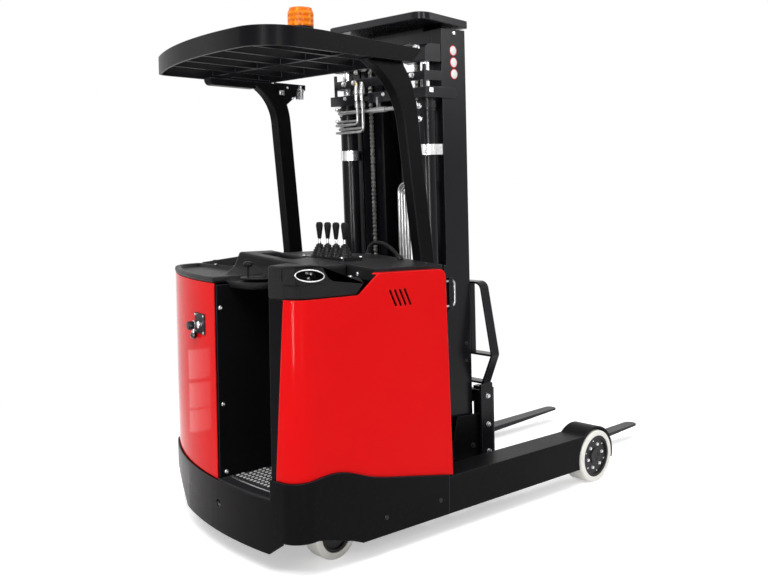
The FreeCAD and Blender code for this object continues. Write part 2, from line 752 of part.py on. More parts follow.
def lever_bank():
    """Four levers with ribbed boots on one base plate."""
    last_y = lever_first_y - (lever_count - 1) * lever_pitch
    low = lid_height(last_y - 52)
    base_z = lid_crown_z + 4
    base = plan([(lever_x - 58, last_y - 52, 16), (lever_x + 58, last_y - 52, 16),
                 (lever_x + 58, lever_first_y + 52, 16), (lever_x - 58, lever_first_y + 52, 16)], low - 4, base_z)
    edge = leg_outer_y - cover_inset - cover_wall
    base = base.cut(crown(lid_bottom_z, edge, -edge, edge, lever_x - 80, lever_x + 80))
    pieces = [base]
    for i in range(lever_count):
        y = lever_first_y - i * lever_pitch
        boot = [(38, base_z - 2)]
        for k in range(5):
            radius = 37 - 5.4 * k
            z = base_z + 10 * k
            boot += [(radius, z + 2), (radius, z + 6), (radius - 6, z + 9)]
        grip = (lever_top_z - base_z - 54) * 0.78
        boot += [(5, base_z + 54), (5, lever_top_z - grip - 2), (8, lever_top_z - grip), (15, lever_top_z - 14),
                 (13, lever_top_z - 4), (7, lever_top_z)]
        pieces.append(turned(boot, lever_x, y))
    return fuse(pieces)


def hose_loop():
    """Held hose on the lid: up from one fitting, over, and down into the other."""
    right_y, left_y = -394.0, -205.0
    right_z, left_z = lid_height(right_y + 11), lid_crown_z
    run = [(-590, left_y, left_z + 14), (-590, left_y, left_z + 54), (-600, left_y - 92, left_z + 58),
           (-609, right_y, right_z + 12)]
    hose = pipe(run, 7.5, 24)
    foot = post(-609, right_y, right_z, right_z + 16, 11)
    elbow = fuse([post(-590, left_y, left_z, left_z + 24, 12), post(-590, left_y, left_z + 24, left_z + 34, 10)])
    return fuse([hose, foot, elbow])


def battery():
    return box(battery_x[0], battery_x[1], -battery_half_width, battery_half_width,
               floor_z, floor_z + battery_height)


def drive_motor():
    return post(drive_x, drive_y, floor_z, floor_z + motor_height, motor_radius)


# ---------------------------------------------------------------- overhead guard
guard_rail_bottom_z = guard_top_z - guard_rail_height


def guard_prism(inset, z0, z1):
    face = arc_plan(guard_arc_radius - inset, guard_rear_x + inset, guard_arc_y, guard_half_width - inset,
                    guard_horn_x[1] + 20, guard_left_radius - inset, guard_right_radius - inset, z0)
    return face.extrude(Vec(0, 0, z1 - z0))


def overhead_guard():
    """Flat-bar hoop, open at the front between two horns, with bars on edge and two cross bars."""
    z0 = guard_rail_bottom_z
    low_x, high_x = guard_horn_x
    ring = guard_prism(0, z0, guard_top_z).cut(guard_prism(guard_rail_wall, z0 - 1, guard_top_z + 1))
    length = high_x - guard_rear_x
    profile = side([(guard_rear_x - 10, z0 - 1, 0), (low_x, z0 - 1, 0), (high_x, guard_top_z - guard_front_drop, 6),
                    (guard_rear_x + 0.35 * length, guard_top_z, 0), (guard_rear_x - 10, guard_top_z, 0)], -beside, beside)
    ring = ring.common(profile)
    inside = guard_half_width - guard_rail_wall / 2
    bars = [box(low_x - guard_bar_width, low_x, -inside, inside, z0, guard_top_z - guard_front_drop - 8),
            box(guard_cross_x - guard_bar_width / 2, guard_cross_x + guard_bar_width / 2, -inside, inside,
                guard_bar_bottom_z, guard_bar_bottom_z + guard_bar_height)]
    for i in range(guard_bar_count):
        y = (i - (guard_bar_count - 1) / 2) * guard_bar_pitch
        x = rear_x(y, guard_arc_radius, guard_rear_x, guard_arc_y) + guard_rail_wall / 2
        bars.append(box(x, low_x - 1, y - guard_bar_width / 2, y + guard_bar_width / 2,
                        guard_bar_bottom_z, guard_bar_bottom_z + guard_bar_height))
    for sign in (-1, 1):
        near, far = sorted((sign * (guard_leg_y - guard_leg_thickness / 2), sign * inside))
        bars.append(box(-838, low_x, near, far, z0, z0 + 10))
    return fuse([ring] + bars)


def guard_leg(tongue):
    """A flat box that climbs the bulkhead, leans back and curves in under the rail."""
    foot_x, foot_z = guard_leg_foot
    head_x, head_z = guard_leg_head
    reach, sweep = 180, 300
    if tongue:
        head_x, reach, sweep = head_x + guard_left_leg_shift, 130, 190
    half = guard_leg_width / 2
    top = guard_rail_bottom_z
    post_x = bulkhead_x + bulkhead_plate
    run = (head_x - foot_x) / (head_z - foot_z)
    rear_knee = head_x - half + run * (guard_top_z - 164 - head_z)
    front_knee = head_x + half + run * (guard_top_z - 158 - head_z)
    outline = [(post_x, guard_post_z, 0), (post_x + guard_post_depth, guard_post_z, 0),
               (foot_x + half + 4, foot_z - 60, 300), (foot_x + half + 2, lid_edge_z + 10, 200),
               (front_knee, guard_top_z - 158, 300), (front_knee - 68, top, 0), (rear_knee - reach, top, 0),
               (rear_knee, guard_top_z - 164, sweep), (post_x, lid_edge_z + 20, 60)]
    y0 = guard_leg_y - guard_leg_thickness / 2
    leg = side(outline, y0, y0 + guard_leg_thickness)
    if not tongue:
        return leg
    x0, x1 = guard_tongue_x
    strip = side([(x0, top, 0), (x0, guard_tongue_z, 24), (x1 + 70, guard_tongue_z, 0), (x1 + 70, top, 0)],
                 y0, y0 + guard_leg_thickness)
    return fuse([leg, strip])


def guard_legs():
    return Part.Compound([guard_leg(True), mirrored(guard_leg(False))])


def beacon():
    """Domed lens on a low base, carried by a plate from the guard's right rail."""
    plate_z = guard_rail_bottom_z + 50
    base = turned([(beacon_base_radius, plate_z), (beacon_base_radius, beacon_lens_z - 6),
                   (beacon_base_radius + 4, beacon_lens_z)], beacon_x, beacon_y)
    r, z = beacon_radius, beacon_lens_z
    lens = turned([(r, z), (r, z + 50), (r - 4, z + 60), (r - 15, z + 68), (r - 32, z + beacon_lens_height)],
                  beacon_x, beacon_y)
    bracket = box(beacon_x - 40, beacon_x + 40, -guard_half_width + guard_rail_wall, beacon_y + 50,
                  plate_z - 8, plate_z)
    return fuse([base, lens, bracket])


# ---------------------------------------------------------------- rear wheels
def drive_yoke():
    """Fork of the driven wheel under a round crown that turns in the floor."""
    z = drive_wheel_diameter / 2
    top = floor_z - plate - side_gap
    half_room = (drive_wheel_width + drive_side_room) / 2
    pieces = []
    for sign in (-1, 1):
        near, far = sorted((drive_y + sign * half_room, drive_y + sign * (half_room + drive_cheek)))
        pieces.append(side([(drive_x - 28, z - 28, 26), (drive_x + 28, z - 28, 26), (drive_x + 45, top, 0),
                            (drive_x - 45, top, 0)], near, far))
    reach = half_room + drive_cheek
    pieces.append(box(drive_x - 45, drive_x + 45, drive_y - reach, drive_y + reach, top - 9, top))
    pieces.append(post(drive_x, drive_y, top - 9, top, drive_crown_radius - side_gap))
    pieces.append(post(drive_x, drive_y, top, floor_z - 0.5, drive_crown_radius - running))
    pieces.append(across(drive_x, z, drive_y - reach, drive_y + reach, rear_axle_radius))
    return fuse(pieces)


def caster_yoke():
    """Trailing fork of the caster."""
    z = caster_diameter / 2
    top = floor_z - plate - 8
    x = caster_x - caster_trail
    half_room = caster_width / 2 + side_gap
    reach = half_room + caster_cheek
    pieces = []
    for sign in (-1, 1):
        near, far = sorted((caster_y + sign * half_room, caster_y + sign * reach))
        pieces.append(side([(x - 22, z - 20, 18), (x + 22, z - 20, 18), (caster_x + 40, top, 0),
                            (caster_x - 44, top, 0)], near, far))
    pieces.append(post(caster_x, caster_y, top - 8, top, 60))
    pieces.append(post(caster_x, caster_y, top, floor_z - 0.5, caster_stem_radius))
    pieces.append(across(x, z, caster_y - reach, caster_y + reach, rear_axle_radius))
    return fuse(pieces)


# ---------------------------------------------------------------- reach carriage
reach_inner_y = mast_half_width + side_gap
roller_radius = (leg_height - 2 * leg_flange) / 2 - seat
roller_outer_y = leg_outer_y - leg_web - 10


def reach_carriage():
    """Two side plates on rollers in the legs, tied across at the rear; carries mast and tilt pins."""
    y0 = reach_inner_y
    y1 = y0 + reach_plate
    outline = [(reach_plate_front_x, reach_plate_bottom_z, 20), (reach_plate_front_x, reach_plate_height, 12),
               (mast_pivot_x - 61, reach_plate_height + 8, 12), (mast_pivot_x - 85, reach_arm_top_z + 40, 30),
               (reach_plate_rear_x, reach_arm_top_z, 20), (reach_plate_rear_x, reach_plate_bottom_z, 20)]
    pieces = both(side(outline, y0, y1))
    pieces.append(box(reach_plate_rear_x + 20, reach_plate_rear_x + 90, -y0, y0, reach_plate_bottom_z + 8, 200))
    for x in reach_roller_x:
        pieces += both(across(x, leg_middle_z, y0, roller_outer_y, reach_stub_radius))
        pieces += both(across(x, leg_middle_z, roller_outer_y - reach_roller_width, roller_outer_y, roller_radius))
    pieces += both(across(mast_pivot_x, mast_pivot_z, mast_half_width - rail_web, y1, mast_pivot_radius))
    foot_x, foot_z = tilt_foot
    for y in (tilt_y - 22 - tilt_lug, tilt_y + 22):
        pieces += both(side([(foot_x - 24, 190, 0), (foot_x + 24, 190, 0), (foot_x + 24, foot_z + 24, 20),
                             (foot_x - 24, foot_z + 24, 20)], y, y + tilt_lug))
    reach = 22 + tilt_lug
    pieces += both(across(foot_x, foot_z, tilt_y - reach, tilt_y + reach, tilt_foot_pin))
    return fuse(pieces)


def reach_barrel():
    return tube((reach_barrel_x[0], 0, leg_middle_z), (reach_barrel_x[1], 0, leg_middle_z),
                reach_barrel_radius, reach_rod_radius + running)


def reach_rod():
    return rod((reach_barrel_x[0] + 10, 0, leg_middle_z), (reach_plate_rear_x + 20, 0, leg_middle_z),
               reach_rod_radius)


def tilt_parts():
    """Left tilt cylinder: the barrel on the carriage's pin, the rod on the mast's pin."""
    foot = Vec(tilt_foot[0], tilt_y, tilt_foot[1])
    head = Vec(tilt_head[0], tilt_y, tilt_head[1])
    along = (head - foot).normalize()
    length = (head - foot).Length
    barrel = Part.makeCylinder(tilt_barrel_radius, length - 60, foot + along * 20, along)
    barrel = barrel.fuse(across(foot.x, foot.z, tilt_y - 20, tilt_y + 20, tilt_barrel_radius + 1))
    barrel = barrel.cut(across(foot.x, foot.z, tilt_y - 30, tilt_y + 30, tilt_foot_pin + running))
    barrel = barrel.cut(Part.makeCylinder(tilt_rod_radius + running, length - 72, foot + along * 33, along))
    shank = Part.makeCylinder(tilt_rod_radius, length - 60, foot + along * 58, along)
    shank = shank.fuse(across(head.x, head.z, tilt_y - tilt_eye_half, tilt_y + tilt_eye_half, tilt_eye_half))
    return barrel, shank.cut(across(head.x, head.z, tilt_y - 30, tilt_y + 30, tilt_head_pin + tilt_eye_play))


# ---------------------------------------------------------------- mast: rails, rollers and ties
middle_half = mast_half_width - rail_width - rail_gap
inner_half = middle_half - rail_width - rail_gap
middle_rear = mast_rear_x + 6
middle_front = mast_front_x - 4
inner_rear = middle_rear + rail_flange + rail_gap
inner_front = middle_front - 2
middle_bottom_z = mast_bottom_z + stage_step
inner_bottom_z = mast_bottom_z + 2 * stage_step
cheek_y = inner_half - rail_width - 8 - cheek_thickness     # fork carriage's side cheeks
cap_bottom_z = mast_top_z + side_gap
cap_slope = cap_rise / (cap_front_x - cap_rear_x)
lift_sheave_z = mast_top_z - lift_sheave_drop
fork_sheave_z = free_barrel_top_z + fork_sheave_lift
chain_half = chain_thickness / 2


def rail(outer_y, rear, ahead, z0, z1):
    """Left channel of one stage, open to the middle."""
    whole = box(rear, ahead, outer_y - rail_width, outer_y, z0, z1)
    room = box(rear + rail_flange, ahead - rail_flange, outer_y - rail_width - 1, outer_y - rail_web, z0 - 1, z1 + 1)
    return whole.cut(room)


def guide_rollers(stub_y, outer_y, rear, ahead, z):
    """Rollers of an inner stage, running inside the channels that reach out to outer_y."""
    x = (rear + ahead) / 2
    radius = (ahead - rear) / 2 - rail_flange - seat
    tip = outer_y - rail_web - rail_gap
    return (both(across(x, z, stub_y, tip, guide_stub_radius)) +
            both(across(x, z, tip - guide_roller_width, tip, radius)))


def chain_run(sheave_x, sheave_z, y, front_end, rear_end):
    """Leaf chain over a sheave, with its sheave: two legs that hang to the given heights."""
    y0, y1 = y - chain_width / 2, y + chain_width / 2
    outer = sheave_pitch_radius + chain_half
    inner = sheave_pitch_radius - chain_half
    wrap = across(sheave_x, sheave_z, y0, y1, outer)
    wrap = wrap.cut(box(sheave_x - 99, sheave_x + 99, y0 - 1, y1 + 1, sheave_z - 99, sheave_z))
    front_leg = box(sheave_x + inner, sheave_x + outer, y0, y1, front_end, sheave_z)
    rear_leg = box(sheave_x - outer, sheave_x - inner, y0, y1, rear_end, sheave_z)
    wheel_disc = across(sheave_x, sheave_z, y0 + 2, y1 - 2, inner + 2)
    clevis = box(sheave_x + inner - 3, sheave_x + outer + 3, y0 - 1, y1 + 1, front_end, front_end + 36)
    return fuse([wrap, front_leg, rear_leg, wheel_disc, clevis])


def outer_mast():
    """Two channels tied at foot, middle and top, with the brackets for hoses and chain anchors."""
    left = rail(mast_half_width, mast_rear_x, mast_front_x, mast_bottom_z, mast_top_z)
    left = left.cut(across(mast_pivot_x, mast_pivot_z, mast_half_width - rail_web - 1, mast_half_width + 1,
                           mast_pivot_radius + running))
    pieces = both(left)
    inside = lift_cylinder_y - lift_barrel_radius
    tie_x = mast_rear_x - tie_standoff - tie_plate
    for z0, z1 in ((mast_bottom_z, low_tie_top_z), mid_tie_z):
        pieces.append(box(tie_x, tie_x + tie_plate, -inside - 8, inside + 8, z0, z1))
        pieces += both(box(tie_x + 4, mast_rear_x, inside, inside + 8, z0, z1))
        pieces += both(box(mast_rear_x - 18, mast_rear_x, inside, mast_half_width, z0, z1))
    pieces += both(box(lift_cylinder_x - 44, mast_rear_x, lift_cylinder_y - 40, mast_half_width,
                       lift_barrel_bottom_z - 20, lift_barrel_bottom_z))
    head_x, head_z = upright(tilt_head)
    for y in (tilt_y - 20 - tilt_lug, tilt_y + 20):
        pieces += both(side([(head_x - 20, head_z - 22, 18), (tie_x + 2, head_z - 22, 0), (tie_x + 2, head_z + 22, 0),
                             (head_x - 20, head_z + 22, 18)], y, y + tilt_lug))
    reach = 20 + tilt_lug
    pieces += both(across(head_x, head_z, tilt_y - reach, tilt_y + reach, tilt_head_pin))
    # chain anchor bar, behind the lift rods
    z0, z1 = anchor_bar_z
    bar_x = lift_sheave_x - sheave_pitch_radius - chain_half
    pieces.append(box(bar_x - 2, bar_x + 12, -mast_half_width, mast_half_width, z0, z1))
    pieces += both(box(bar_x - 2, mast_rear_x, mast_half_width - 12, mast_half_width, hose_bracket_z[0], z1 + 28))
    # hose bracket, a U round the mast from behind
    z0, z1 = hose_bracket_z
    arm_y = mast_half_width + 16
    rear = bar_x - 2 - hose_bracket_plate
    pieces.append(box(rear, rear + hose_bracket_plate, -arm_y, arm_y, z0, z1))
    tip = hose_bracket_front_x
    pieces += both(side([(rear, z0, 0), (tip - 14, z0, 10), (tip, z0 + 12, 8), (tip, z1 - 12, 8), (tip - 14, z1, 10),
                         (rear, z1, 0)], mast_half_width, arm_y))
    # rod handle on the right rail
    z0, z1 = handle_z
    handle_y = -mast_half_width - handle_rod - 6
    rail_end = mast_rear_x - 40
    loop = pipe([(rail_end, handle_y, z1), (handle_reach_x, handle_y, z1), (handle_reach_x, handle_y, z0),
                 (rail_end, handle_y, z0)], handle_rod, 18)
    foot = box(mast_rear_x - 8, mast_rear_x + 14, handle_y - handle_rod - 2, -mast_half_width, z0 - 16, z1 + 16)
    return fuse(pieces + [loop, foot])


def lift_barrels():
    """Lift cylinder barrels, each with a wider gland at its top."""
    pieces = []
    top = lift_barrel_top_z
    for sign in (-1, 1):
        y = sign * lift_cylinder_y
        barrel = post(lift_cylinder_x, y, lift_barrel_bottom_z, top, lift_barrel_radius - 3)
        gland = post(lift_cylinder_x, y, top - lift_gland_height, top, lift_barrel_radius)
        foot = post(lift_cylinder_x, y, lift_barrel_bottom_z, lift_barrel_bottom_z + 24, lift_barrel_radius)
        bore = post(lift_cylinder_x, y, lift_barrel_bottom_z + lift_floor, top + 1, lift_rod_radius + running)
        pieces.append(fuse([barrel, gland, foot]).cut(bore))
    return Part.Compound(pieces)


def lift_rods():
    foot = lift_barrel_bottom_z + lift_floor + 10
    head = lift_sheave_z - lift_lug_half_height
    return Part.Compound(both(post(lift_cylinder_x, lift_cylinder_y, foot, head, lift_rod_radius)))


def above_cap_floor(x0, x1, y):
    """Everything over the cap's sloping underside."""
    low = cap_bottom_z
    return side([(x0, low + (cap_front_x - x0) * cap_slope, 0), (x1, low + (cap_front_x - x1) * cap_slope, 0),
                 (x1, low + 200, 0), (x0, low + 200, 0)], -y, y)


def mast_cap():
    """Plate over the inner stage, rounded at its rear corners, its rear edge a little higher."""
    r = cap_corner_radius
    rear, ahead, half = cap_rear_x, cap_front_x, cap_half_width
    outline = [(rear, -half, r), (ahead, -half, 10), (ahead, half, 10), (rear, half, r)]
    block = plan(outline, cap_bottom_z, cap_bottom_z + cap_thickness + cap_rise)
    under = above_cap_floor(rear - 5, ahead + 5, half + 5)
    over = under.copy()
    over.translate(Vec(0, 0, cap_thickness))
    return block.common(under).cut(over)


def middle_mast():
    """Middle stage: its channels, ties, rollers, and the lugs that the lift rods push on."""
    left = rail(middle_half, middle_rear, middle_front, middle_bottom_z, mast_top_z)
    pieces = both(left)
    tie_half = middle_half - 20
    for z0, z1 in ((middle_bottom_z, middle_bottom_z + stage_foot_height),
                   (mast_top_z - 2 * stage_tie_height, mast_top_z)):
        pieces.append(box(middle_rear, middle_rear + rail_flange, -tie_half, tie_half, z0, z1))
    z0 = lift_sheave_z - lift_lug_half_height
    z1 = lift_sheave_z + lift_lug_half_height
    back = mast_rear_x - side_gap
    neck_y = lift_chain_y + chain_width / 2 + side_gap
    pieces += both(side([(lift_cylinder_x - 40, z0, 6), (back, z0, 6), (back, z1, 6), (lift_cylinder_x - 40, z1, 30)],
                        neck_y, mast_half_width))
    pieces += both(box(back - 2, middle_rear + 4, neck_y, middle_half - 2, z0, z1))
    pieces += guide_rollers(middle_half - 6, mast_half_width, mast_rear_x, mast_front_x, guide_roller_z)
    return fuse(pieces)


def lift_chains():
    """Lift chains on the middle stage's sheaves, each sheave on a pin in its lug."""
    anchor_end = anchor_bar_z[1] + side_gap
    chain = chain_run(lift_sheave_x, lift_sheave_z, lift_chain_y, lift_chain_foot_z, anchor_end)
    lug_y = lift_chain_y + chain_width / 2 + side_gap
    pin = across(lift_sheave_x, lift_sheave_z, lift_chain_y - chain_width / 2 - 4, lug_y, 14)
    return Part.Compound(both(fuse([chain, pin])))


def inner_mast():
    """Inner stage: its channels, ties, rollers, the free lift cylinder's shelf and the chain brackets."""
    floor_cut = above_cap_floor(inner_rear - 20, inner_front + 20, inner_half + 20)
    top = cap_bottom_z + cap_rise
    left = rail(inner_half, inner_rear, inner_front, inner_bottom_z, top)
    pieces = both(left)
    tie_half = inner_half - 20
    for z0, z1 in ((inner_bottom_z, inner_bottom_z + stage_foot_height), (cap_bottom_z - stage_tie_height, top)):
        pieces.append(box(inner_rear, inner_rear + rail_flange, -tie_half, tie_half, z0, z1))
    shelf_half = cheek_y - side_gap
    pieces.append(box(inner_rear, free_cylinder_x + 50, -shelf_half, shelf_half,
                      free_barrel_bottom_z - 16, free_barrel_bottom_z))
    # brackets that the lift chains' front legs end under, slotted round each chain
    z0 = lift_chain_foot_z + 36 + side_gap
    chain_x = lift_sheave_x + sheave_pitch_radius
    slot_y = lift_chain_y - chain_width / 2 - chain_notch
    hook = box(chain_x - chain_half, inner_rear + 2, inner_half - 50, slot_y, z0, z0 + 40)
    pieces += both(hook)
    pieces += guide_rollers(inner_half - 6, middle_half, middle_rear, middle_front, guide_roller_z)
    return fuse(pieces).cut(floor_cut)


def free_lift_barrel():
    """Free lift cylinder with a gland and the collar that holds the fork chains' rear ends."""
    x, y, top = free_cylinder_x, free_cylinder_y, free_barrel_top_z
    barrel = post(x, y, free_barrel_bottom_z, top, free_barrel_radius - 2)
    gland = post(x, y, top - 40, top, free_barrel_radius)
    collar = box(x - sheave_pitch_radius - chain_half - 2, x, y - 34, y + 34,
                 fork_chain_foot_z - 36, fork_chain_foot_z - side_gap)
    bore = post(x, y, free_barrel_bottom_z + lift_floor, top + 1, free_rod_radius + running)
    return fuse([barrel, gland, collar]).cut(bore)


def crosshead():
    """Head of the free lift ram, between the two fork chain sheaves."""
    x, y = free_cylinder_x, free_cylinder_y
    ram = post(x, y, free_barrel_bottom_z + lift_floor + 10, fork_sheave_z - 30, free_rod_radius)
    gap = fork_chain_offset - chain_width / 2 - 1
    block = side([(x - 24, fork_sheave_z - 40, 8), (x + 24, fork_sheave_z - 40, 8), (x + 24, fork_sheave_z + 22, 20),
                  (x - 24, fork_sheave_z + 22, 20)], y - gap, y + gap)
    pin = across(x, fork_sheave_z, y - gap - 2, y + gap + 2, 14)
    return fuse([ram, block, pin])


def fork_chains():
    """Two fork chains with their sheaves on the crosshead's pin."""
    chains = []
    for sign in (-1, 1):
        y = free_cylinder_y + sign * fork_chain_offset
        chain = chain_run(free_cylinder_x, fork_sheave_z, y, fork_chain_foot_z - 42, fork_chain_foot_z)
        chains.append(chain.cut(across(free_cylinder_x, fork_sheave_z, y - 20, y + 20, 14 + running)))
        chains[-1] = chains[-1].common(box(-900, 900, y - 12, y + 12, 0, above))
    return Part.Compound(chains)


def band(sign, z):
    """Clamp round one lift cylinder with its tail on the rail."""
    y = sign * lift_cylinder_y
    radius = lift_barrel_radius - 3 + seat
    ring = tube((lift_cylinder_x, y, z), (lift_cylinder_x, y, z + band_height), radius + band_wall, radius)
    near, far = sorted((y, sign * (mast_half_width - 4)))
    tail = box(lift_cylinder_x, mast_rear_x, near, far, z, z + band_height)
    tail = tail.cut(post(lift_cylinder_x, y, z - 1, z + band_height + 1, radius + band_wall - 1))
    near, far = sorted((sign * (mast_half_width - 10), sign * (mast_half_width - 4)))
    return fuse([ring, tail.common(box(lift_cylinder_x, mast_rear_x, near, far, z, z + band_height))])


def mast_pipes():
    """Hydraulic pipes and clamps behind the mast."""
    rear = lift_sheave_x - sheave_pitch_radius - chain_half - 2 - hose_bracket_plate
    pieces = [band(-1, band_z), band(1, band_z - 10)]
    # cross tube between the lift cylinders, with its sleeve
    x = rear - cross_tube_radius - 3
    reach = pipe_reach_y
    start = lift_cylinder_x - lift_barrel_radius - 8
    tube_run = pipe([(start, reach, cross_tube_z), (x, reach, cross_tube_z),
                     (x, -lift_cylinder_y, cross_tube_z)], cross_tube_radius, short_bend)
    sleeve = across(x, cross_tube_z, -76, 16, cross_tube_radius + 4)
    hanger = box(x - 4, rear, -30, -18, cross_tube_z, hose_bracket_z[0] + 20)
    pieces.append(fuse([tube_run, sleeve, hanger]))
    # four bent pipes at the left, up to fittings on the hose bracket
    for i in range(4):
        z = left_pipe_z - i * left_pipe_pitch
        riser_y = first_riser_y - (i // 2) * 36 - (i % 2) * 17
        px = rear - 2 * pipe_radius - (i % 2) * 18
        top = hose_bracket_z[1] + 46 - (i % 2) * 18
        run = pipe([(start, reach + 4, z), (px, reach + 4, z), (px, riser_y, z), (px, riser_y, top - 30)],
                   pipe_radius, short_bend)
        nut = post(px, riser_y, hose_bracket_z[0] - 18, hose_bracket_z[0] + 8, pipe_radius + 4)
        nut = fuse([nut, post(px, riser_y, hose_bracket_z[1] - 8, top, pipe_radius + 4)])
        clip = box(px, rear, riser_y - 5, riser_y + 5, hose_bracket_z[0] + 12, hose_bracket_z[0] + 30)
        pieces.append(fuse([run, nut, clip]))
    # four pipes in the middle: bends at the top, long falls below, one clamp on the middle tie
    tie_back = mast_rear_x - tie_standoff - tie_plate
    falls = []
    for i in range(4):
        y = centre_pipe_y - i * centre_pipe_pitch
        z = centre_pipe_top_z - i * 15
        falls.append(pipe([(centre_pipe_x, -196, z), (centre_pipe_x, y, z), (centre_pipe_x, y, low_tie_top_z + 20)],
                          pipe_radius, 44 - 8 * i))
    clamp = box(centre_pipe_x - 4, tie_back, centre_pipe_y - 3 * centre_pipe_pitch - 10, centre_pipe_y + 10,
                mid_tie_z[0] + 15, mid_tie_z[0] + 45)
    falls.append(clamp)
    falls.append(box(centre_pipe_x - 4, centre_pipe_x + 4, -180, -168, centre_pipe_top_z - 52, centre_pipe_top_z + 8))
    pieces.append(fuse(falls))
    return Part.Compound(pieces)


# ---------------------------------------------------------------- fork carriage, backrest, forks
carriage_face_x = fork_face_x - fork_thickness
carriage_rear_x = carriage_face_x - carriage_bar


def fork_carriage():
    """Cheeks with rollers inside the inner stage, two cross bars, end plates and the chain bar."""
    rear = inner_rear + rail_flange + 8
    y0 = cheek_y
    cheek = side([(rear, 130, 20), (carriage_rear_x, carriage_low_bar_z[0] + 4, 10), (carriage_rear_x, carriage_top_z, 10),
                  (rear, carriage_top_z - 30, 40)], y0, y0 + cheek_thickness)
    pieces = both(cheek)
    for z0, z1 in (carriage_low_bar_z, carriage_high_bar_z):
        pieces.append(box(carriage_rear_x, carriage_face_x, -carriage_half_width, carriage_half_width, z0, z1))
    end_y = carriage_half_width
    pieces += both(side([(carriage_rear_x - 40, carriage_low_bar_z[0], 0), (carriage_face_x + 10, carriage_low_bar_z[0], 0),
                         (carriage_face_x + 10, carriage_top_z, 6), (carriage_rear_x - 40, carriage_top_z, 6)],
                        end_y, end_y + carriage_end_plate))
    # bar that the fork chains hang under, slotted round each chain
    chain_x = free_cylinder_x + sheave_pitch_radius
    bar_z = fork_chain_foot_z
    bar = box(chain_x - chain_half, chain_x + 39, -y0 - 4, y0 + 4, bar_z, bar_z + 30)
    for sign in (-1, 1):
        y = free_cylinder_y + sign * fork_chain_offset
        reach = chain_width / 2 + chain_notch
        bar = bar.cut(box(chain_x - 30, chain_x + chain_half + chain_notch, y - reach, y + reach, bar_z - 1, bar_z + 31))
    pieces.append(bar)
    for z in carriage_roller_z:
        pieces += guide_rollers(y0, inner_half, inner_rear, inner_front, z)
    return fuse(pieces)


def backrest():
    """Load backrest: a six-sided strip frame on the carriage with a cross strip and upright strips."""
    x1 = carriage_face_x - 4
    x0 = x1 - backrest_depth
    foot_z, knee_z, top_z = carriage_top_z, backrest_knee_z, backrest_top_z

    def outline(inset):
        half = [(backrest_half_foot - inset, foot_z + inset, 0), (backrest_half_knee - inset, knee_z, 30),
                (backrest_half_top - inset * 0.7, top_z - inset, 40 - inset)]
        return half + [(-y, z, r) for y, z, r in reversed(half)]

    frame = front(outline(0), x0, x1).cut(front(outline(backrest_bar), x0 - 1, x1 + 1))
    half_bar = backrest_bar / 2
    reach = backrest_half_knee - 6
    pieces = [frame, box(x0, x1, -reach, reach, knee_z - half_bar, knee_z + half_bar)]
    for y in backrest_post_y:
        pieces.append(box(x1 - 40, x1 - 10, y - half_bar, y + half_bar, knee_z, top_z - half_bar))
    return fuse(pieces)


def fork():
    """Left fork: shank, bend and a blade that tapers to its tip."""
    y0 = fork_centre_y - fork_width / 2
    y1 = fork_centre_y + fork_width / 2
    x0 = carriage_face_x
    tip = fork_face_x + fork_length
    z1 = fork_bottom_z + fork_thickness
    outline = [(x0, fork_bottom_z, 30), (fork_face_x + 300, fork_bottom_z - fork_tip_drop / 4, 0), (tip, z1 - 10 - fork_tip_drop, 0),
               (tip, z1 - fork_tip_drop, 0), (fork_face_x, z1, 12), (fork_face_x, fork_shank_height, 0), (x0, fork_shank_height, 0)]
    blade = side(outline, y0, y1)
    return blade.common(plan([(x0 - 40, y0, 0), (tip, y0 + 14, 34), (tip, y1 - 14, 34), (x0 - 40, y1, 0)], -20, 600))


def forks():
    return Part.Compound(both(fork()))


# ---------------------------------------------------------------- write the pieces
right_leg = leg_right()
save("leg_right", right_leg)
save("leg_left", mirrored(right_leg))
load_outer_y = -(leg_outer_y + load_wheel_proud)
load_tyre, load_hub = wheel(load_axle_x, load_outer_y, load_outer_y + load_wheel_width, load_axle_z,
                            load_wheel_diameter / 2, load_wheel_diameter / 2 * load_hub_ratio,
                            load_axle_radius + running)
save("load_tyre_right", load_tyre)
save("load_hub_right", load_hub)
save("load_tyre_left", mirrored(load_tyre))
save("load_hub_left", mirrored(load_hub))

drive_tyre, drive_hub = wheel(drive_x, drive_y - drive_wheel_width / 2, drive_y + drive_wheel_width / 2,
                              drive_wheel_diameter / 2, drive_wheel_diameter / 2, drive_hub_radius,
                              rear_axle_radius + running)
save("drive_tyre", drive_tyre)
save("drive_hub", drive_hub)
caster_tyre, caster_hub = wheel(caster_x - caster_trail, caster_y - caster_width / 2, caster_y + caster_width / 2,
                                caster_diameter / 2, caster_diameter / 2, caster_hub_radius,
                                rear_axle_radius + running)
save("caster_tyre", caster_tyre)
save("caster_hub", caster_hub)

tilt_barrel, tilt_rod = tilt_parts()
save("tilt_barrel_left", tilt_barrel)
save("tilt_rod_left", tilt_rod)
save("tilt_barrel_right", mirrored(tilt_barrel))
save("tilt_rod_right", mirrored(tilt_rod))

for piece in (chassis_skirt, chassis_deck, floor_mat, side_cover_right, rear_cover_left, inner_panel, pillar,
              console_top, power_lid, grip_console, steering_wheel, lever_bank, hose_loop, battery, drive_motor,
              overhead_guard, guard_legs, beacon, drive_yoke, caster_yoke, reach_carriage, reach_barrel, reach_rod):
    save(piece.__name__, piece())

for piece in (outer_mast, lift_barrels, lift_rods, mast_cap, middle_mast, lift_chains, inner_mast,
              free_lift_barrel, crosshead, fork_chains, fork_carriage, backrest, forks, mast_pipes):
    save(piece.__name__, leaned(piece()))
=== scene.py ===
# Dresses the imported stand-up reach truck: finishes for every node, small parts, the studio and the camera.
import bmesh
import bpy
import json
import math
import numpy as np
from mathutils import Matrix, Vector
from mathutils.bvhtree import BVHTree


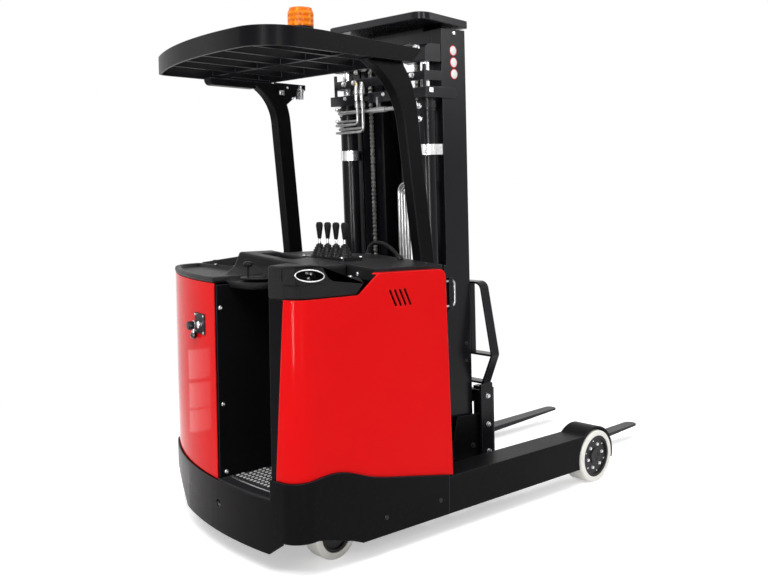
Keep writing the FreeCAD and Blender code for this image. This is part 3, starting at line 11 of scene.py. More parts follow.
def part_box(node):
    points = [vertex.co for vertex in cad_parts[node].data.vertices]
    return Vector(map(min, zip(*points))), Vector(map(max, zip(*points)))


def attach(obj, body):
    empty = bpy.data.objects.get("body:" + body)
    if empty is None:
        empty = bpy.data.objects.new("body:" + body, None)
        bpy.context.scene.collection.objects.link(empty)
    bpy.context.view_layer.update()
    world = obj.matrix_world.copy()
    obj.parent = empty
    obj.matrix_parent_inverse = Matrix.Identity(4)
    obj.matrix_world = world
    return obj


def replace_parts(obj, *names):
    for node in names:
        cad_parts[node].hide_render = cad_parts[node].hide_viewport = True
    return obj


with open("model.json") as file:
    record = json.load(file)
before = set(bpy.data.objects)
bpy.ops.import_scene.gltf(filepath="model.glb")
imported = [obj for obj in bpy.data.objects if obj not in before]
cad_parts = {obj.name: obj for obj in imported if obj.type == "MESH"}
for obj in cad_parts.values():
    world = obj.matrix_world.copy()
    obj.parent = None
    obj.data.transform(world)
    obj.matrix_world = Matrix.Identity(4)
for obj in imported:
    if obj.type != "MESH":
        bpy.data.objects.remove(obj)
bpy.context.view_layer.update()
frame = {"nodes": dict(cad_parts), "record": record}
bodyOf = {node: body for body, members in frame["record"]["behaviour"]["bodies"].items() for node in members}
slotOf = {entry["node"]: entry["material_slot"] for entry in frame["record"]["subparts"]}
print("stage: frame loaded,", len(frame["nodes"]), "nodes")

studio = {
    "cameraPlace": (-3.333, -3.206, 1.371),
    "yaw": 46.78,          # degrees from +X towards +Y
    "pitch": -5.45,
    "roll": -0.24,
    "lens": 44.61,         # mm on a 36 mm sensor
    "floorColour": (0.93, 0.93, 0.93),
    "floorHalf": 60,       # half the floor's side in metres
    "floorGlow": 0.45,     # share of plain white that the floor shows near the truck
    "glowStart": 1.3,      # metres from the middle where the floor starts to turn plain white
    "glowEnd": 3.2,
    "glowStretch": (0.8, 1, 0),     # the plain white starts further off along x
    "worldLevel": 0.45,    # light that the surroundings give to plain surfaces
}
# place, target, size, watts, and whether it only shines, so that it shows in polished surfaces alone
lamps = {
    "keyLamp": ((-3.4, -1.6, 4.2), (-0.6, 0, 0.9), (2.2, 2.2), 140, False),
    "leftStrip": ((-4.6, -2.3, 1.5), (-0.9, -0.3, 1), (0.1, 2.8), 170, True),
    "rightStrip": ((-2.6, -4.6, 1.5), (-0.9, -0.4, 1), (0.1, 2.8), 170, True),
    "sideLamp": ((2.6, -4.4, 3.2), (0, 0, 0.8), (2.4, 1.6), 66, False),
    "topLamp": ((0.2, 0.4, 5.2), (0, 0, 0), (3.6, 3.6), 90, False),
    "farLamp": ((-3.6, 4.2, 2.6), (-0.6, 0, 0.9), (1.8, 2.4), 26, False),
    # three panels, one over the other, that stand in the left cover's shine
    "lowPanel": ((-1.43, 1.15, 0.222), (-1.43, 0, 0.222), (0.46, 0.115), 0.22, True),
    "midPanel": ((-1.43, 1.15, 0.355), (-1.43, 0, 0.355), (0.46, 0.13), 0.25, True),
    "highPanel": ((-1.43, 1.15, 0.518), (-1.43, 0, 0.518), (0.46, 0.152), 0.3, True),
}


def linked(name, data):
    # an object with the data, in the scene
    thing = bpy.data.objects.new(name, data)
    bpy.context.scene.collection.objects.link(thing)
    return thing


def aimed(place, look):
    # at the place, with its minus z along the look and its y upwards
    return Matrix.Translation(place) @ look.to_track_quat("-Z", "Y").to_matrix().to_4x4()


def placeCamera(settings):
    # looks along (cos pitch cos yaw, cos pitch sin yaw, sin pitch), then rolls about that line
    data = bpy.data.cameras.new("camera")
    data.lens = settings["lens"]
    data.sensor_width = 36
    yaw, pitch, roll = (math.radians(settings[key]) for key in ("yaw", "pitch", "roll"))
    look = Vector((math.cos(pitch) * math.cos(yaw), math.cos(pitch) * math.sin(yaw), math.sin(pitch)))
    camera = linked("camera", data)
    camera.matrix_world = aimed(settings["cameraPlace"], look) @ Matrix.Rotation(roll, 4, "Z")
    bpy.context.scene.camera = camera


placeCamera(studio)


class Wire:
    # a node's output; arithmetic on it adds Math nodes
    def __init__(self, nodes, socket):
        self.nodes = nodes
        self.socket = socket

    def math(self, operation, *others):
        return self.nodes.add("ShaderNodeMath", {"operation": operation}, dict(enumerate([self, *others])))

    def __add__(self, other):
        return self.math("ADD", other)

    def __sub__(self, other):
        return self.math("SUBTRACT", other)

    def __rsub__(self, other):
        return self.nodes.add("ShaderNodeMath", {"operation": "SUBTRACT"}, {0: other, 1: self})

    def __mul__(self, other):
        return self.math("MULTIPLY", other)

    def __truediv__(self, other):
        return self.math("DIVIDE", other)

    __radd__ = __add__
    __rmul__ = __mul__

    def above(self, level, ramp):
        # 0 below the level, 1 over it, with a straight ramp of the given width between
        return ((self - level) / ramp).math("MAXIMUM", 0).math("MINIMUM", 1)


class Nodes:
    # a node tree, to which one method adds any node
    def __init__(self, tree):
        self.tree = tree

    def add(self, kind, settings=None, inputs=None, output=0):
        # the settings come first, then a value or a link for each socket
        node = self.tree.nodes.new(kind)
        for key, value in (settings or {}).items():
            setattr(node, key, value)
        for key, value in (inputs or {}).items():
            self.feed(node.inputs[key], value)
        return Wire(self, node.outputs[output])

    def feed(self, socket, value):
        # a wire is linked, a colour gets its alpha, and a plain value is set
        if isinstance(value, Wire):
            self.tree.links.new(value.socket, socket)
        else:
            socket.default_value = (*value, 1) if socket.type == "RGBA" else value


class Shader(Nodes):
    # a new material and its surface
    def __init__(self, name):
        self.material = bpy.data.materials.new(name)
        self.material.use_nodes = True
        super().__init__(self.material.node_tree)
        self.surface = self.tree.nodes["Principled BSDF"]

    def set(self, values):
        for name, value in values.items():
            self.feed(self.surface.inputs[name], value)

    def place(self, stretch=(1, 1, 1)):
        # object coordinates, scaled per axis
        spot = self.add("ShaderNodeTexCoord", output="Object")
        return self.add("ShaderNodeVectorMath", {"operation": "MULTIPLY"}, {0: spot, 1: stretch})

    def noise(self, scale, detail=3, stretch=(1, 1, 1)):
        return self.add("ShaderNodeTexNoise", {}, {"Vector": self.place(stretch), "Scale": scale, "Detail": detail,
                                                   "Roughness": 0.55})

    def cells(self, scale):
        return self.add("ShaderNodeTexVoronoi", {"feature": "DISTANCE_TO_EDGE"},
                        {"Vector": self.place(), "Scale": scale})

    def mix(self, amount, first, second):
        return self.add("ShaderNodeMix", {"data_type": "RGBA"}, {0: amount, 6: first, 7: second}, 2)

    def rounded(self, radius):
        # the normal that slightly rounded edges would have
        return self.add("ShaderNodeBevel", {"samples": 4}, {"Radius": radius})

    def edges(self, roundedNormal):
        # 1 where the rounded normal turns away from the flat one, so along edges
        flat = self.add("ShaderNodeNewGeometry", output="Normal")
        along = self.add("ShaderNodeVectorMath", {"operation": "DOT_PRODUCT"}, {0: roundedNormal, 1: flat}, "Value")
        return (1.0 - along).above(0.01, 0.12)

    def bump(self, height, distance, under=None):
        inputs = {"Height": height, "Distance": distance}
        if under is not None:
            inputs["Normal"] = under
        return self.add("ShaderNodeBump", {}, inputs)


# the patterns that finishes of one kind share: level and ramp of each pattern, and how much it changes the surface
paintPattern = {"patches": (0.42, 0.3), "patchTone": 0.6, "patchRough": 0.05, "dustFiner": 9, "dust": (0.58, 0.2),
                "dustRough": 0.06}
plasticPattern = {"grain": (0, 0.25), "cloud": (0.4, 0.3), "cloudRough": 0.07}
metalPattern = {"cloud": (0.4, 0.3), "edge": 0.0006}
lensPattern = {"stepScale": 16, "stepBend": 1.5, "stepDepth": 0.0012, "glintScale": 70, "paintedGlints": (0.56, 0.1),
               "glintTone": 0.5}


def paintFinish(name, colour, second, rim, edgeHighlightShare, roughness, edge, patchScale, peelScale, peel, specular):
    # sprayed paint: broad soft patches, fine dust, orange peel, and a thin lighter line along edges that is a painted
    # highlight
    shader, pattern = Shader(name), paintPattern
    soft = shader.rounded(edge)
    paintedEdgeHighlight = shader.edges(soft)
    patches = shader.noise(patchScale, 4).above(*pattern["patches"])
    dust = shader.noise(patchScale * pattern["dustFiner"], 5).above(*pattern["dust"])
    body = shader.mix(patches * pattern["patchTone"], colour, second)
    rough = patches * pattern["patchRough"] + dust * pattern["dustRough"] + roughness
    # the rim colour mixed in along edges is a painted highlight, standing for the shine of rounded edges
    shader.set({"Base Color": shader.mix(paintedEdgeHighlight * edgeHighlightShare, body, rim), "Roughness": rough,
                "Normal": shader.bump(shader.noise(peelScale, 2), peel, soft),
                "Specular IOR Level": specular})
    return shader.material


def plasticFinish(name, colour, second, roughness, specular, edge, patchScale, grainScale, grain):
    # moulded plastic or rubber: a leathery grain of small cells over a cloudy tone
    shader, pattern = Shader(name), plasticPattern
    soft = shader.rounded(edge) if edge else None
    cells = shader.cells(grainScale).above(*pattern["grain"])
    cloud = shader.noise(patchScale, 4).above(*pattern["cloud"])
    shader.set({"Base Color": shader.mix(cloud, colour, second),
                "Roughness": cloud * pattern["cloudRough"] + roughness,
                "Normal": shader.bump(cells, grain, soft), "Specular IOR Level": specular})
    return shader.material


def metalFinish(name, colour, second, roughness, patchScale, lineScale, stretch, lineShare, depth):
    # bare or plated metal: fine drawn lines along one axis, cloudy tone
    shader, pattern = Shader(name), metalPattern
    lines = shader.noise(lineScale, 3, stretch)
    cloud = shader.noise(patchScale, 3).above(*pattern["cloud"])
    shader.set({"Base Color": shader.mix(cloud, colour, second),
                "Roughness": lines * lineShare + roughness,
                "Normal": shader.bump(lines, depth, shader.rounded(pattern["edge"])), "Metallic": 1})
    return shader.material


def lensFinish(name, colour, deep, bright, roughness, glow, specular):
    # clear coloured moulding: level steps seen through the wall, with small glints painted into the colour as
    # highlights, and a faint painted glow from emission
    shader, pattern = Shader(name), lensPattern
    steps = shader.add("ShaderNodeTexWave", {"bands_direction": "Z"},
                       {"Vector": shader.place(), "Scale": pattern["stepScale"], "Distortion": pattern["stepBend"],
                        "Detail": 2}, 1)
    paintedGlints = shader.noise(pattern["glintScale"], 2).above(*pattern["paintedGlints"])
    core = shader.mix(steps, deep, colour)
    # the glints and their bright colour are painted highlights; the emission is a painted glow, since the lens is not
    # lit
    shader.set({"Base Color": shader.mix(paintedGlints * pattern["glintTone"], core, bright),
                "Emission Color": core, "Normal": shader.bump(steps, pattern["stepDepth"]),
                "Roughness": roughness, "Emission Strength": glow,
                "Specular IOR Level": specular})
    return shader.material


# rows of values in the order of the maker's own parameters
# in each paint row the third colour is a painted highlight along edges, and the next value is how much of it shows
paints = {
    "frame_black": ((0.005, 0.005, 0.0058), (0.0078, 0.0078, 0.009), (0.1, 0.1, 0.11), 0.6, 0.27, 0.0035, 2.4,
        420, 0.00022, 0.03),
    "mast_black": ((0.0075, 0.0075, 0.0095), (0.012, 0.012, 0.015), (0.14, 0.14, 0.16), 0.6, 0.2, 0.003, 2, 380,
        0.00018, 0.13),
    "fork_black": ((0.012, 0.012, 0.015), (0.022, 0.022, 0.026), (0.14, 0.14, 0.15), 0.6, 0.27, 0.003, 5, 260,
        0.00018, 0.12),
    "cover_red": ((0.74, 0.0062, 0.0075), (0.79, 0.0085, 0.0095), (0.92, 0.05, 0.045), 0.5, 0.07, 0.006, 1.1,
        60, 0.00007, 0.022),
    "hub_black": ((0.011, 0.011, 0.0125), (0.02, 0.02, 0.022), (0.13, 0.13, 0.13), 0.6, 0.32, 0.0015, 16, 300,
        0.0003, 0.15),
    "battery_grey": ((0.045, 0.045, 0.05), (0.06, 0.06, 0.066), (0.1, 0.1, 0.1), 0.5, 0.5, 0.003, 4, 300,
        0.0003, 0.4),
    "signWhite": ((0.8, 0.8, 0.8), (0.84, 0.84, 0.84), (0.9, 0.9, 0.9), 0.2, 0.35, 0.0003, 30, 300, 0.00005,
        0.4),
}
plastics = {
    "console_plastic": ((0.0085, 0.0085, 0.0098), (0.0135, 0.0135, 0.015), 0.33, 0.08, 0.003, 5, 700, 0.00035),
    "mat_rubber": ((0.012, 0.012, 0.013), (0.028, 0.028, 0.028), 0.62, 0.3, 0.001, 12, 500, 0.0004),
    # the studs' light grey is a painted highlight for light caught on the studs
    "matStud": ((0.85, 0.85, 0.83), (0.62, 0.62, 0.61), 0.4, 0.4, 0.0005, 60, 900, 0.0002),
    "hose_rubber": ((0.006, 0.006, 0.007), (0.01, 0.01, 0.011), 0.36, 0.12, 0.0005, 30, 900, 0.0003),
    "bootRubber": ((0.005, 0.005, 0.0058), (0.009, 0.009, 0.01), 0.28, 0.12, 0, 20, 900, 0.00004),
    "tyre_cream": ((0.9, 0.885, 0.83), (0.82, 0.805, 0.75), 0.36, 0.42, 0.003, 16, 260, 0.00025),
    "darkGlass": ((0.004, 0.004, 0.005), (0.006, 0.006, 0.008), 0.08, 0.6, 0.0006, 9, 40, 0.00001),
}
metals = {
    "chrome_rod": ((0.72, 0.72, 0.74), (0.64, 0.64, 0.66), 0.08, 20, 900, (1, 1, 0.04), 0.06, 0.00002),
    "chain_steel": ((0.66, 0.65, 0.62), (0.38, 0.37, 0.35), 0.24, 60, 700, (1, 1, 1), 0.16, 0.00008),
    "zinc_pipe": ((0.4, 0.4, 0.4), (0.28, 0.28, 0.275), 0.24, 30, 500, (1, 1, 0.1), 0.14, 0.00004),
    "zincBright": ((0.74, 0.74, 0.75), (0.6, 0.6, 0.61), 0.2, 90, 600, (1, 1, 0.2), 0.14, 0.00003),
    "brassBright": ((0.62, 0.44, 0.18), (0.48, 0.34, 0.14), 0.26, 90, 600, (1, 1, 1), 0.12, 0.00003),
}
lenses = {
    # the third colour is the painted glint highlight, and the fifth value is the strength of a painted glow
    "beacon_amber": ((0.8, 0.2, 0.002), (0.58, 0.095, 0.001), (1, 0.46, 0.03), 0.14, 0.1, 0.12),
}
makers = ((paintFinish, paints), (plasticFinish, plastics), (metalFinish, metals), (lensFinish, lenses))
finishes = {name: maker(name, *row) for maker, rows in makers for name, row in rows.items()}
print("stage: finishes made,", len(finishes))


def linkPiece(name, mesh, body, smoothAngle=35):
    # a smooth-shaded piece with creases past the angle, riding on the body
    mesh.polygons.foreach_set("use_smooth", np.ones(len(mesh.polygons), bool))
    mesh.set_sharp_from_angle(angle=math.radians(smoothAngle))
    piece = linked(name, mesh)
    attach(piece, body)
    return piece


# bevel width of each node's edges in metres; a node that isn't named gets the plain one
plainEdge = 0.0012
edgeGroups = {
    0.005: ("side_cover_right",),
    0.004: ("rear_cover_left",),
    0.003: ("chassis_skirt", "leg_left", "leg_right", "guard_legs", "mast_cap"),
    0.002: ("chassis_deck", "overhead_guard", "forks"),
    0.009: ("console_top", "grip_console"),
    0.006: ("power_lid", "battery"),
    0.0015: ("outer_mast",),
    0.001: ("inner_panel",),
    0.0008: ("pillar",),
    0: ("load_tyre_left", "load_tyre_right", "drive_tyre", "caster_tyre", "lever_bank", "mast_pipes",
        "steering_wheel", "beacon", "lift_rods", "reach_rod"),
}
edgeWidths = {node: width for width, nodes in edgeGroups.items() for node in nodes}
looseEdges = ("console_top", "grip_console")      # wide round edges that may pass short neighbours
edging = {"merge": 0.00003, "flat": 0.6, "segments": 2, "corner": 40, "crease": 30}     # metres and degrees


def dressed(node, width):
    # a copy of the node, with doubles merged, flat faces joined and edges softly rounded, which stands for it
    mesh = frame["nodes"][node].data.copy()
    work = bmesh.new()
    work.from_mesh(mesh)
    bmesh.ops.remove_doubles(work, verts=work.verts, dist=edging["merge"])
    bmesh.ops.dissolve_limit(work, angle_limit=math.radians(edging["flat"]), verts=work.verts, edges=work.edges)
    work.to_mesh(mesh)
    work.free()
    mesh.materials.clear()
    mesh.materials.append(finishes[slotOf[node]])
    piece = linkPiece(node + "_dressed", mesh, bodyOf[node], edging["crease"])
    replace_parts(piece, node)
    if width > 0:
        bevel = piece.modifiers.new("edges", "BEVEL")
        bevel.width = width
        bevel.segments = edging["segments"]
        bevel.limit_method = "ANGLE"
        bevel.angle_limit = math.radians(edging["corner"])
        bevel.use_clamp_overlap = node not in looseEdges
        bevel.miter_outer = "MITER_ARC"
        even = piece.modifiers.new("shading", "WEIGHTED_NORMAL")
        even.keep_sharp = True
    return piece


remade = ("lift_chains", "fork_chains", "hose_loop")
pieces = {node: dressed(node, edgeWidths.get(node, plainEdge)) for node in frame["nodes"] if node not in remade}
print("stage: nodes dressed")


def between(values, limits):
    # true where a value lies inside the two limits
    return (values > limits[0]) & (values < limits[1])


def refinish(node, finish, rule):
    # another finish for the faces of a dressed node that the rule picks by the middle of each face
    mesh = pieces[node].data
    centres, choice = np.empty(len(mesh.polygons) * 3), np.empty(len(mesh.polygons), np.int32)
    mesh.polygons.foreach_get("center", centres)
    mesh.polygons.foreach_get("material_index", choice)
    mesh.materials.append(finishes[finish])
    choice[rule(*centres.reshape(-1, 3).T)] = len(mesh.materials) - 1
    mesh.polygons.foreach_set("material_index", choice)


bands = {"skirtTop": 1.9835, "boots": (0, 1.186), "stems": (1.186, 1.2005), "handle": (0.87, 1.012),
         "handleFace": -0.3035, "railThickness": (-0.2225, -0.195), "pipeClamps": (1.53, 1.62), "clampSide": 0.205}
refinish("beacon", "frame_black", lambda x, y, z: z < bands["skirtTop"])
refinish("lever_bank", "bootRubber", lambda x, y, z: between(z, bands["boots"]))
refinish("lever_bank", "zinc_pipe", lambda x, y, z: between(z, bands["stems"]))
refinish("outer_mast", "zinc_pipe", lambda x, y, z: (y < bands["handleFace"]) & between(z, bands["handle"]) &
         ~between(x, bands["railThickness"]))
refinish("mast_pipes", "zincBright", lambda x, y, z: (abs(y) > bands["clampSide"]) & between(z, bands["pipeClamps"]))


def roundAngles(count):
    # evenly spaced angles of a full turn
    return np.linspace(0, 2 * np.pi, count, endpoint=False)


def unit(rows):
    # each row over its length
    return rows / np.linalg.norm(rows, axis=-1, keepdims=True)


def flatTurn(degrees):
    # matrix that turns rows (x, y) by the angle when they are multiplied by it
    angle = math.radians(degrees)
    return np.array([[math.cos(angle), math.sin(angle)], [-math.sin(angle), math.cos(angle)]])


def quadsOf(rows, columns, closed):
    # corner numbers of the quads between neighbouring rings; a closed one also joins the last ring to the first
    row, column = np.meshgrid(np.arange(rows if closed else rows - 1), np.arange(columns), indexing="ij")
    ahead, above = (column + 1) % columns, (row + 1) % rows
    corners = [row * columns + column, row * columns + ahead, above * columns + ahead, above * columns + column]
    return np.stack(corners, -1).reshape(-1, 4).tolist()


def stack(rings):
    # rings (rows, columns, 3) that run anticlockwise seen from the last row, joined by quads and closed by two caps
    rows, columns = rings.shape[:2]
    caps = [list(range(columns))[::-1], list(range((rows - 1) * columns, rows * columns))]
    return rings.reshape(-1, 3), quadsOf(rows, columns, False) + caps


def looped(rings):
    # rings (rows, columns, 3) joined by quads both ways round, so that the surface closes on itself
    return rings.reshape(-1, 3), quadsOf(*rings.shape[:2], True)


def turned(profile, columns=24):
    # profile rows (radius, height) about z: x = radius cos(angle), y = radius sin(angle); both may vary round it
    angle = roundAngles(columns)
    rings = [np.stack(np.broadcast_arrays(radius * np.cos(angle), radius * np.sin(angle), height), -1)
             for radius, height in profile]
    return stack(np.stack(rings))


def slab(outline, low, high, edge):
    # outline (corners, 2) raised from low to high, its upper rim drawn in by the edge along the corner's bisector
    flat = np.asarray(outline, float)
    after, before = np.roll(flat, -1, 0) - flat, flat - np.roll(flat, 1, 0)
    inward = unit(np.stack([-after[:, 1], after[:, 0]], -1)) + unit(np.stack([-before[:, 1], before[:, 0]], -1))
    inward /= np.maximum((inward ** 2).sum(1), 0.5)[:, None] / 2
    drawn = flat + inward * edge
    rows = [(flat, low), (flat, high - edge), (drawn, high)]
    return stack(np.stack([np.column_stack([points, np.full(len(flat), height)]) for points, height in rows]))


def oblong(halfLong, halfWide):
    # the four corners of a rectangle about the origin, anticlockwise
    return np.array([[-1, -1], [1, -1], [1, 1], [-1, 1]]) * (halfLong, halfWide)


def joined(shapes):
    # several (points, faces) as one
    starts = np.cumsum([0] + [len(points) for points, _ in shapes])
    faces = [[int(i) + int(start) for i in face] for start, (_, group) in zip(starts, shapes) for face in group]
    return np.concatenate([points for points, _ in shapes]), faces


def moved(shape, offset, turn=np.eye(3)):
    # turned by the matrix about the origin, then shifted
    return shape[0] @ turn.T + np.asarray(offset, float), shape[1]


def turnTo(axis):
    # rotation whose third column is the axis
    third = unit(np.asarray(axis, float))
    helper = np.array([0, 0, 1]) if abs(third[2]) < 0.9 else np.array([1, 0, 0])
    first = unit(np.cross(helper, third))
    return np.column_stack([first, np.cross(third, first), third])


def copies(template, places, axes):
    # the template set at each place, its z along the axis there
    places = np.atleast_2d(np.asarray(places, float))
    axes = np.broadcast_to(np.atleast_2d(np.asarray(axes, float)), places.shape)
    return joined([moved(template, place, turnTo(axis)) for place, axis in zip(places, axes)])


def hexRadius(flats):
    # half the flats over the cosine of the angle from the middle of the nearest flat
    angle = roundAngles(24)
    return flats / 2 / np.cos((angle + np.pi / 6) % (np.pi / 3) - np.pi / 6)


def hexHead(flats, height, washer=1.25):
    # washer and hexagon, whose top is cut by a cone of 30 degrees
    radius, top = hexRadius(flats), height * 1.1
    crown = np.minimum(radius, flats * 0.475)
    rim = flats * washer / 2
    base = turned([(rim, 0), (rim, height * 0.22), (rim / 1.1, height * 0.28)])
    return joined([base, turned([(radius, height * 0.27), (radius, top - (radius - crown) * 0.6), (crown, top)])])


def socketHead(radius, height):
    # round head with a rounded rim and a six-sided socket
    socket = hexRadius(radius * math.cos(math.pi / 6))
    return turned([(radius, 0), (radius, height * 0.8), (radius * 0.9, height), (socket, height),
                   (socket, height * 0.45)])


def domeHead(radius, height):
    # shallow dome: the radius falls with the cosine of the climb, and the height rises with its sine
    climb = np.linspace(0, 0.96, 6) * math.pi / 2
    return turned([(radius, 0), *zip(radius * np.cos(climb), height * (0.2 + 0.8 * np.sin(climb)))], 20)


def addPiece(name, shape, finish, body="truck", smoothAngle=35):
    # a new piece from (points, faces)
    points, faces = shape
    mesh = bpy.data.meshes.new(name)
    mesh.from_pydata(points.tolist(), [], faces)
    mesh.materials.append(finishes[finish])
    return linkPiece(name, mesh, body, smoothAngle)


sides = ((-1, "right"), (1, "left"))
mastLean = {"angle": 2.2, "pivotX": -0.105, "pivotZ": 0.172}     # degrees, metres


def leaned(points):
    # points drawn on the upright mast, turned back about its pivot
    at = np.atleast_2d(np.asarray(points, float)).copy()
    angle = math.radians(mastLean["angle"])
    x, z = at[:, 0] - mastLean["pivotX"], at[:, 2] - mastLean["pivotZ"]
    at[:, 0] = mastLean["pivotX"] + x * math.cos(angle) - z * math.sin(angle)
    at[:, 2] = mastLean["pivotZ"] + x * math.sin(angle) + z * math.cos(angle)
    return at


mastUp = leaned([(0, 0, 1)])[0] - leaned([(0, 0, 0)])[0]

# openings in the side plates that carry the anchor bar, above and below it, so that the lift rods show
sideOpenings = {"x": (-0.2815, -0.1855), "y": (0.2865, 0.3025),
                "levels": ((1.856, 1.8825), (1.9235, 1.96), (1.79, 1.8065))}


def opened(piece, settings):
    # takes boxes out of a dressed copy on both sides
    (x0, x1), (y0, y1) = settings["x"], settings["y"]
    boxes = []
    for low, high in settings["levels"]:
        points, faces = slab([[x0, y0], [x1, y0], [x1, y1], [x0, y1]], low, high, 0.0001)
        boxes += [(leaned(points), faces), (leaned(points) * (1, -1, 1), [face[::-1] for face in faces])]
    points, faces = joined(boxes)
    mesh = bpy.data.meshes.new("openings")
    mesh.from_pydata(points.tolist(), [], faces)
    cutter, whole = linked("openings", mesh), linked("whole", piece.data)
    cut = whole.modifiers.new("cut", "BOOLEAN")
    cut.object = cutter
    cut.solver = "EXACT"
    bpy.context.view_layer.update()
    piece.data = bpy.data.meshes.new_from_object(whole.evaluated_get(bpy.context.evaluated_depsgraph_get()))
    for helper in (cutter, whole):
        bpy.data.objects.remove(helper)


opened(pieces["outer_mast"], sideOpenings)
print("stage: mast plates opened")
searchTrees = {}


def landed(node, start, direction, sunk):
    # where a line from outside meets the node, let in by the given depth, and the outward normal there
    if node not in searchTrees:
        work = bmesh.new()
        work.from_mesh(frame["nodes"][node].data)
        searchTrees[node] = BVHTree.FromBMesh(work)
        work.free()
    place, normal, _, _ = searchTrees[node].ray_cast(Vector(start), Vector(direction))
    return np.array(place) - np.array(normal) * sunk, np.array(normal)


def setOn(template, node, starts, direction):
    # the template standing on the node under each start, leaning with the surface
    return joined([copies(template, *landed(node, start, direction, 0.0002)) for start in starts])


# leaf chains: pins on a path of front leg, half circle over the sheave and rear leg
leafChain = {"pitch": 0.01905, "thick": 0.0017, "high": 0.015, "width": 0.0165, "pinRadius": 0.0026, "pinOut": 0.0008,
             "plateRows": (4, 3), "innerShare": 0.66, "waist": 0.5}


def chainPins(sheaveX, sheaveZ, radius, frontEnd, rearEnd, pitch):
    # path length s: up the front leg, round the sheave by s / radius, down the rear leg
    front, arc, rear = sheaveZ - frontEnd, math.pi * radius, sheaveZ - rearEnd
    s = np.arange(int((front + arc + rear) / pitch) + 1) * pitch
    x = sheaveX + radius * np.cos(np.clip((s - front) / radius, 0, math.pi))
    z = sheaveZ + radius * np.sin(np.clip((s - front) / radius, 0, math.pi))
    return np.column_stack([x, z + np.minimum(s - front, 0) - np.maximum(s - front - arc, 0)])


def leafLinks(pins, middleY, settings):
    # each plate is two circles joined by a waist; odd and even links stand side by side on the pins
    half, pitch, thick = settings["high"] / 2, settings["pitch"], settings["thick"]
    angle = np.radians([100, 140, 180, 220, 260])
    left = np.column_stack([-pitch / 2 + half * np.cos(angle), half * np.sin(angle)])
    waist = [[0, half * settings["waist"]]]
    outline = np.concatenate([left, np.negative(waist), -left, waist])
    plate, faces = stack(np.stack([np.column_stack([outline, np.full(len(outline), level)])
                                   for level in (-thick / 2, thick / 2)]))
    centres, along = (pins[1:] + pins[:-1]) / 2, unit(np.diff(pins, axis=0))
    reach = (settings["width"] - thick) / 2
    blocks = []
    for odd, (count, share) in enumerate(zip(settings["plateRows"], (1, settings["innerShare"]))):
        for level in np.linspace(-share, share, count) * reach:
            middle, way = centres[odd::2], along[odd::2]
            x = middle[:, :1] + way[:, :1] * plate[:, 0] - way[:, 1:] * plate[:, 1]
            z = middle[:, 1:] + way[:, 1:] * plate[:, 0] + way[:, :1] * plate[:, 1]
            blocks.append(np.stack([x, np.broadcast_to(middleY + level - plate[:, 2], x.shape), z], -1))
    plates = np.concatenate(blocks)
    rodHalf = settings["width"] / 2 + settings["pinOut"]
    rod = turned([(settings["pinRadius"], -rodHalf), (settings["pinRadius"], rodHalf)], 8)
    places = np.column_stack([pins[:, 0], np.full(len(pins), middleY), pins[:, 1]])
    return joined([repeated(plates, faces), copies(rod, places, (0, 1, 0))])


def repeated(blocks, faces):
    # one shape at many places: blocks (places, points, 3), all with the same faces
    starts = np.arange(len(blocks)) * blocks.shape[1]
    return blocks.reshape(-1, 3), [[corner + int(start) for corner in face] for start in starts for face in faces]


def sheaveWheel(place, radius, width):
    # grooved wheel on a hub: the profile dips between two flanges
    rim, bore = radius - 0.0085, 0.012
    half = [(bore, 0.5), (radius - 0.002, 0.5), (radius, 0.42), (rim, 0.34)]
    profile = [(r, -share * width) for r, share in half] + [(r, share * width) for r, share in half[::-1]]
    return copies(turned(profile, 32), place, (0, 1, 0))


liftChain = {"sheaveX": -0.237, "sheaveZ": 2, "radius": 0.045, "frontEnd": 0.436, "rearEnd": 1.934,
             "y": (0.154, -0.154), "axleCaps": True}
forkChain = {"sheaveX": -0.104, "sheaveZ": 1.302, "radius": 0.045, "frontEnd": 0.436, "rearEnd": 0.44,
             "y": (0.072, 0.02), "axleCaps": False}
chainAnchor = turned([(0.0072, -0.038), (0.0072, -0.006), (0.006, -0.004), (0.006, 0.004)], 16)
axleCap = turned([(0.012, -0.004), (0.014, 0), (0.014, 0.014), (0.011, 0.016)], 20)


def chainSet(settings, name, node, body):
    # for each chain of the pair: its links, a sheave and an anchor at the front end
    x, z, radius = (settings[key] for key in ("sheaveX", "sheaveZ", "radius"))
    pins = chainPins(x, z, radius, settings["frontEnd"], settings["rearEnd"], leafChain["pitch"])
    links = joined([leafLinks(pins, y, leafChain) for y in settings["y"]])
    carriers = [sheaveWheel((x, y, z), radius - 0.0065, 0.013) for y in settings["y"]]
    if settings["axleCaps"]:
        carriers += [copies(axleCap, (x, y, z), (0, math.copysign(1, y), 0)) for y in settings["y"]]
    carriers += [copies(chainAnchor, (x + radius, y, settings["frontEnd"]), (0, 0, 1)) for y in settings["y"]]
    parts = (("_links", links, "chain_steel"), ("_sheaves", joined(carriers), "zinc_pipe"))
    for part, (points, faces), finish in parts:
        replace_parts(addPiece(name + part, (leaned(points), faces), finish, body, 30), node)


chainSet(liftChain, "lift_chain", "lift_chains", "middle_stage")
chainSet(forkChain, "fork_chain", "fork_chains", "crosshead")
print("stage: chains linked")

# tread of the standing floor: slanted lozenges in rows, coloured light grey as a painted highlight for light caught on
# the studs, a light edging strip and a ribbed sill behind it
tread = {"pitchX": 0.026, "pitchY": 0.0225, "long": 0.017, "wide": 0.0108, "high": 0.0016, "slant": 19,
         "shear": 0.0052,
         "rear": -1.3, "front": -0.912, "right": -0.47, "left": -0.139, "arcX": 0.308, "arcY": -0.33,
         "stripRadius": 1.5945, "stripHalf": 0.0065, "stripHigh": 0.0035, "stripGap": 0.014,
         "ribPitch": 0.0105, "ribHalf": (0.022, 0.0022), "ribOut": 0.032}
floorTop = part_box("floor_mat")[1][2]


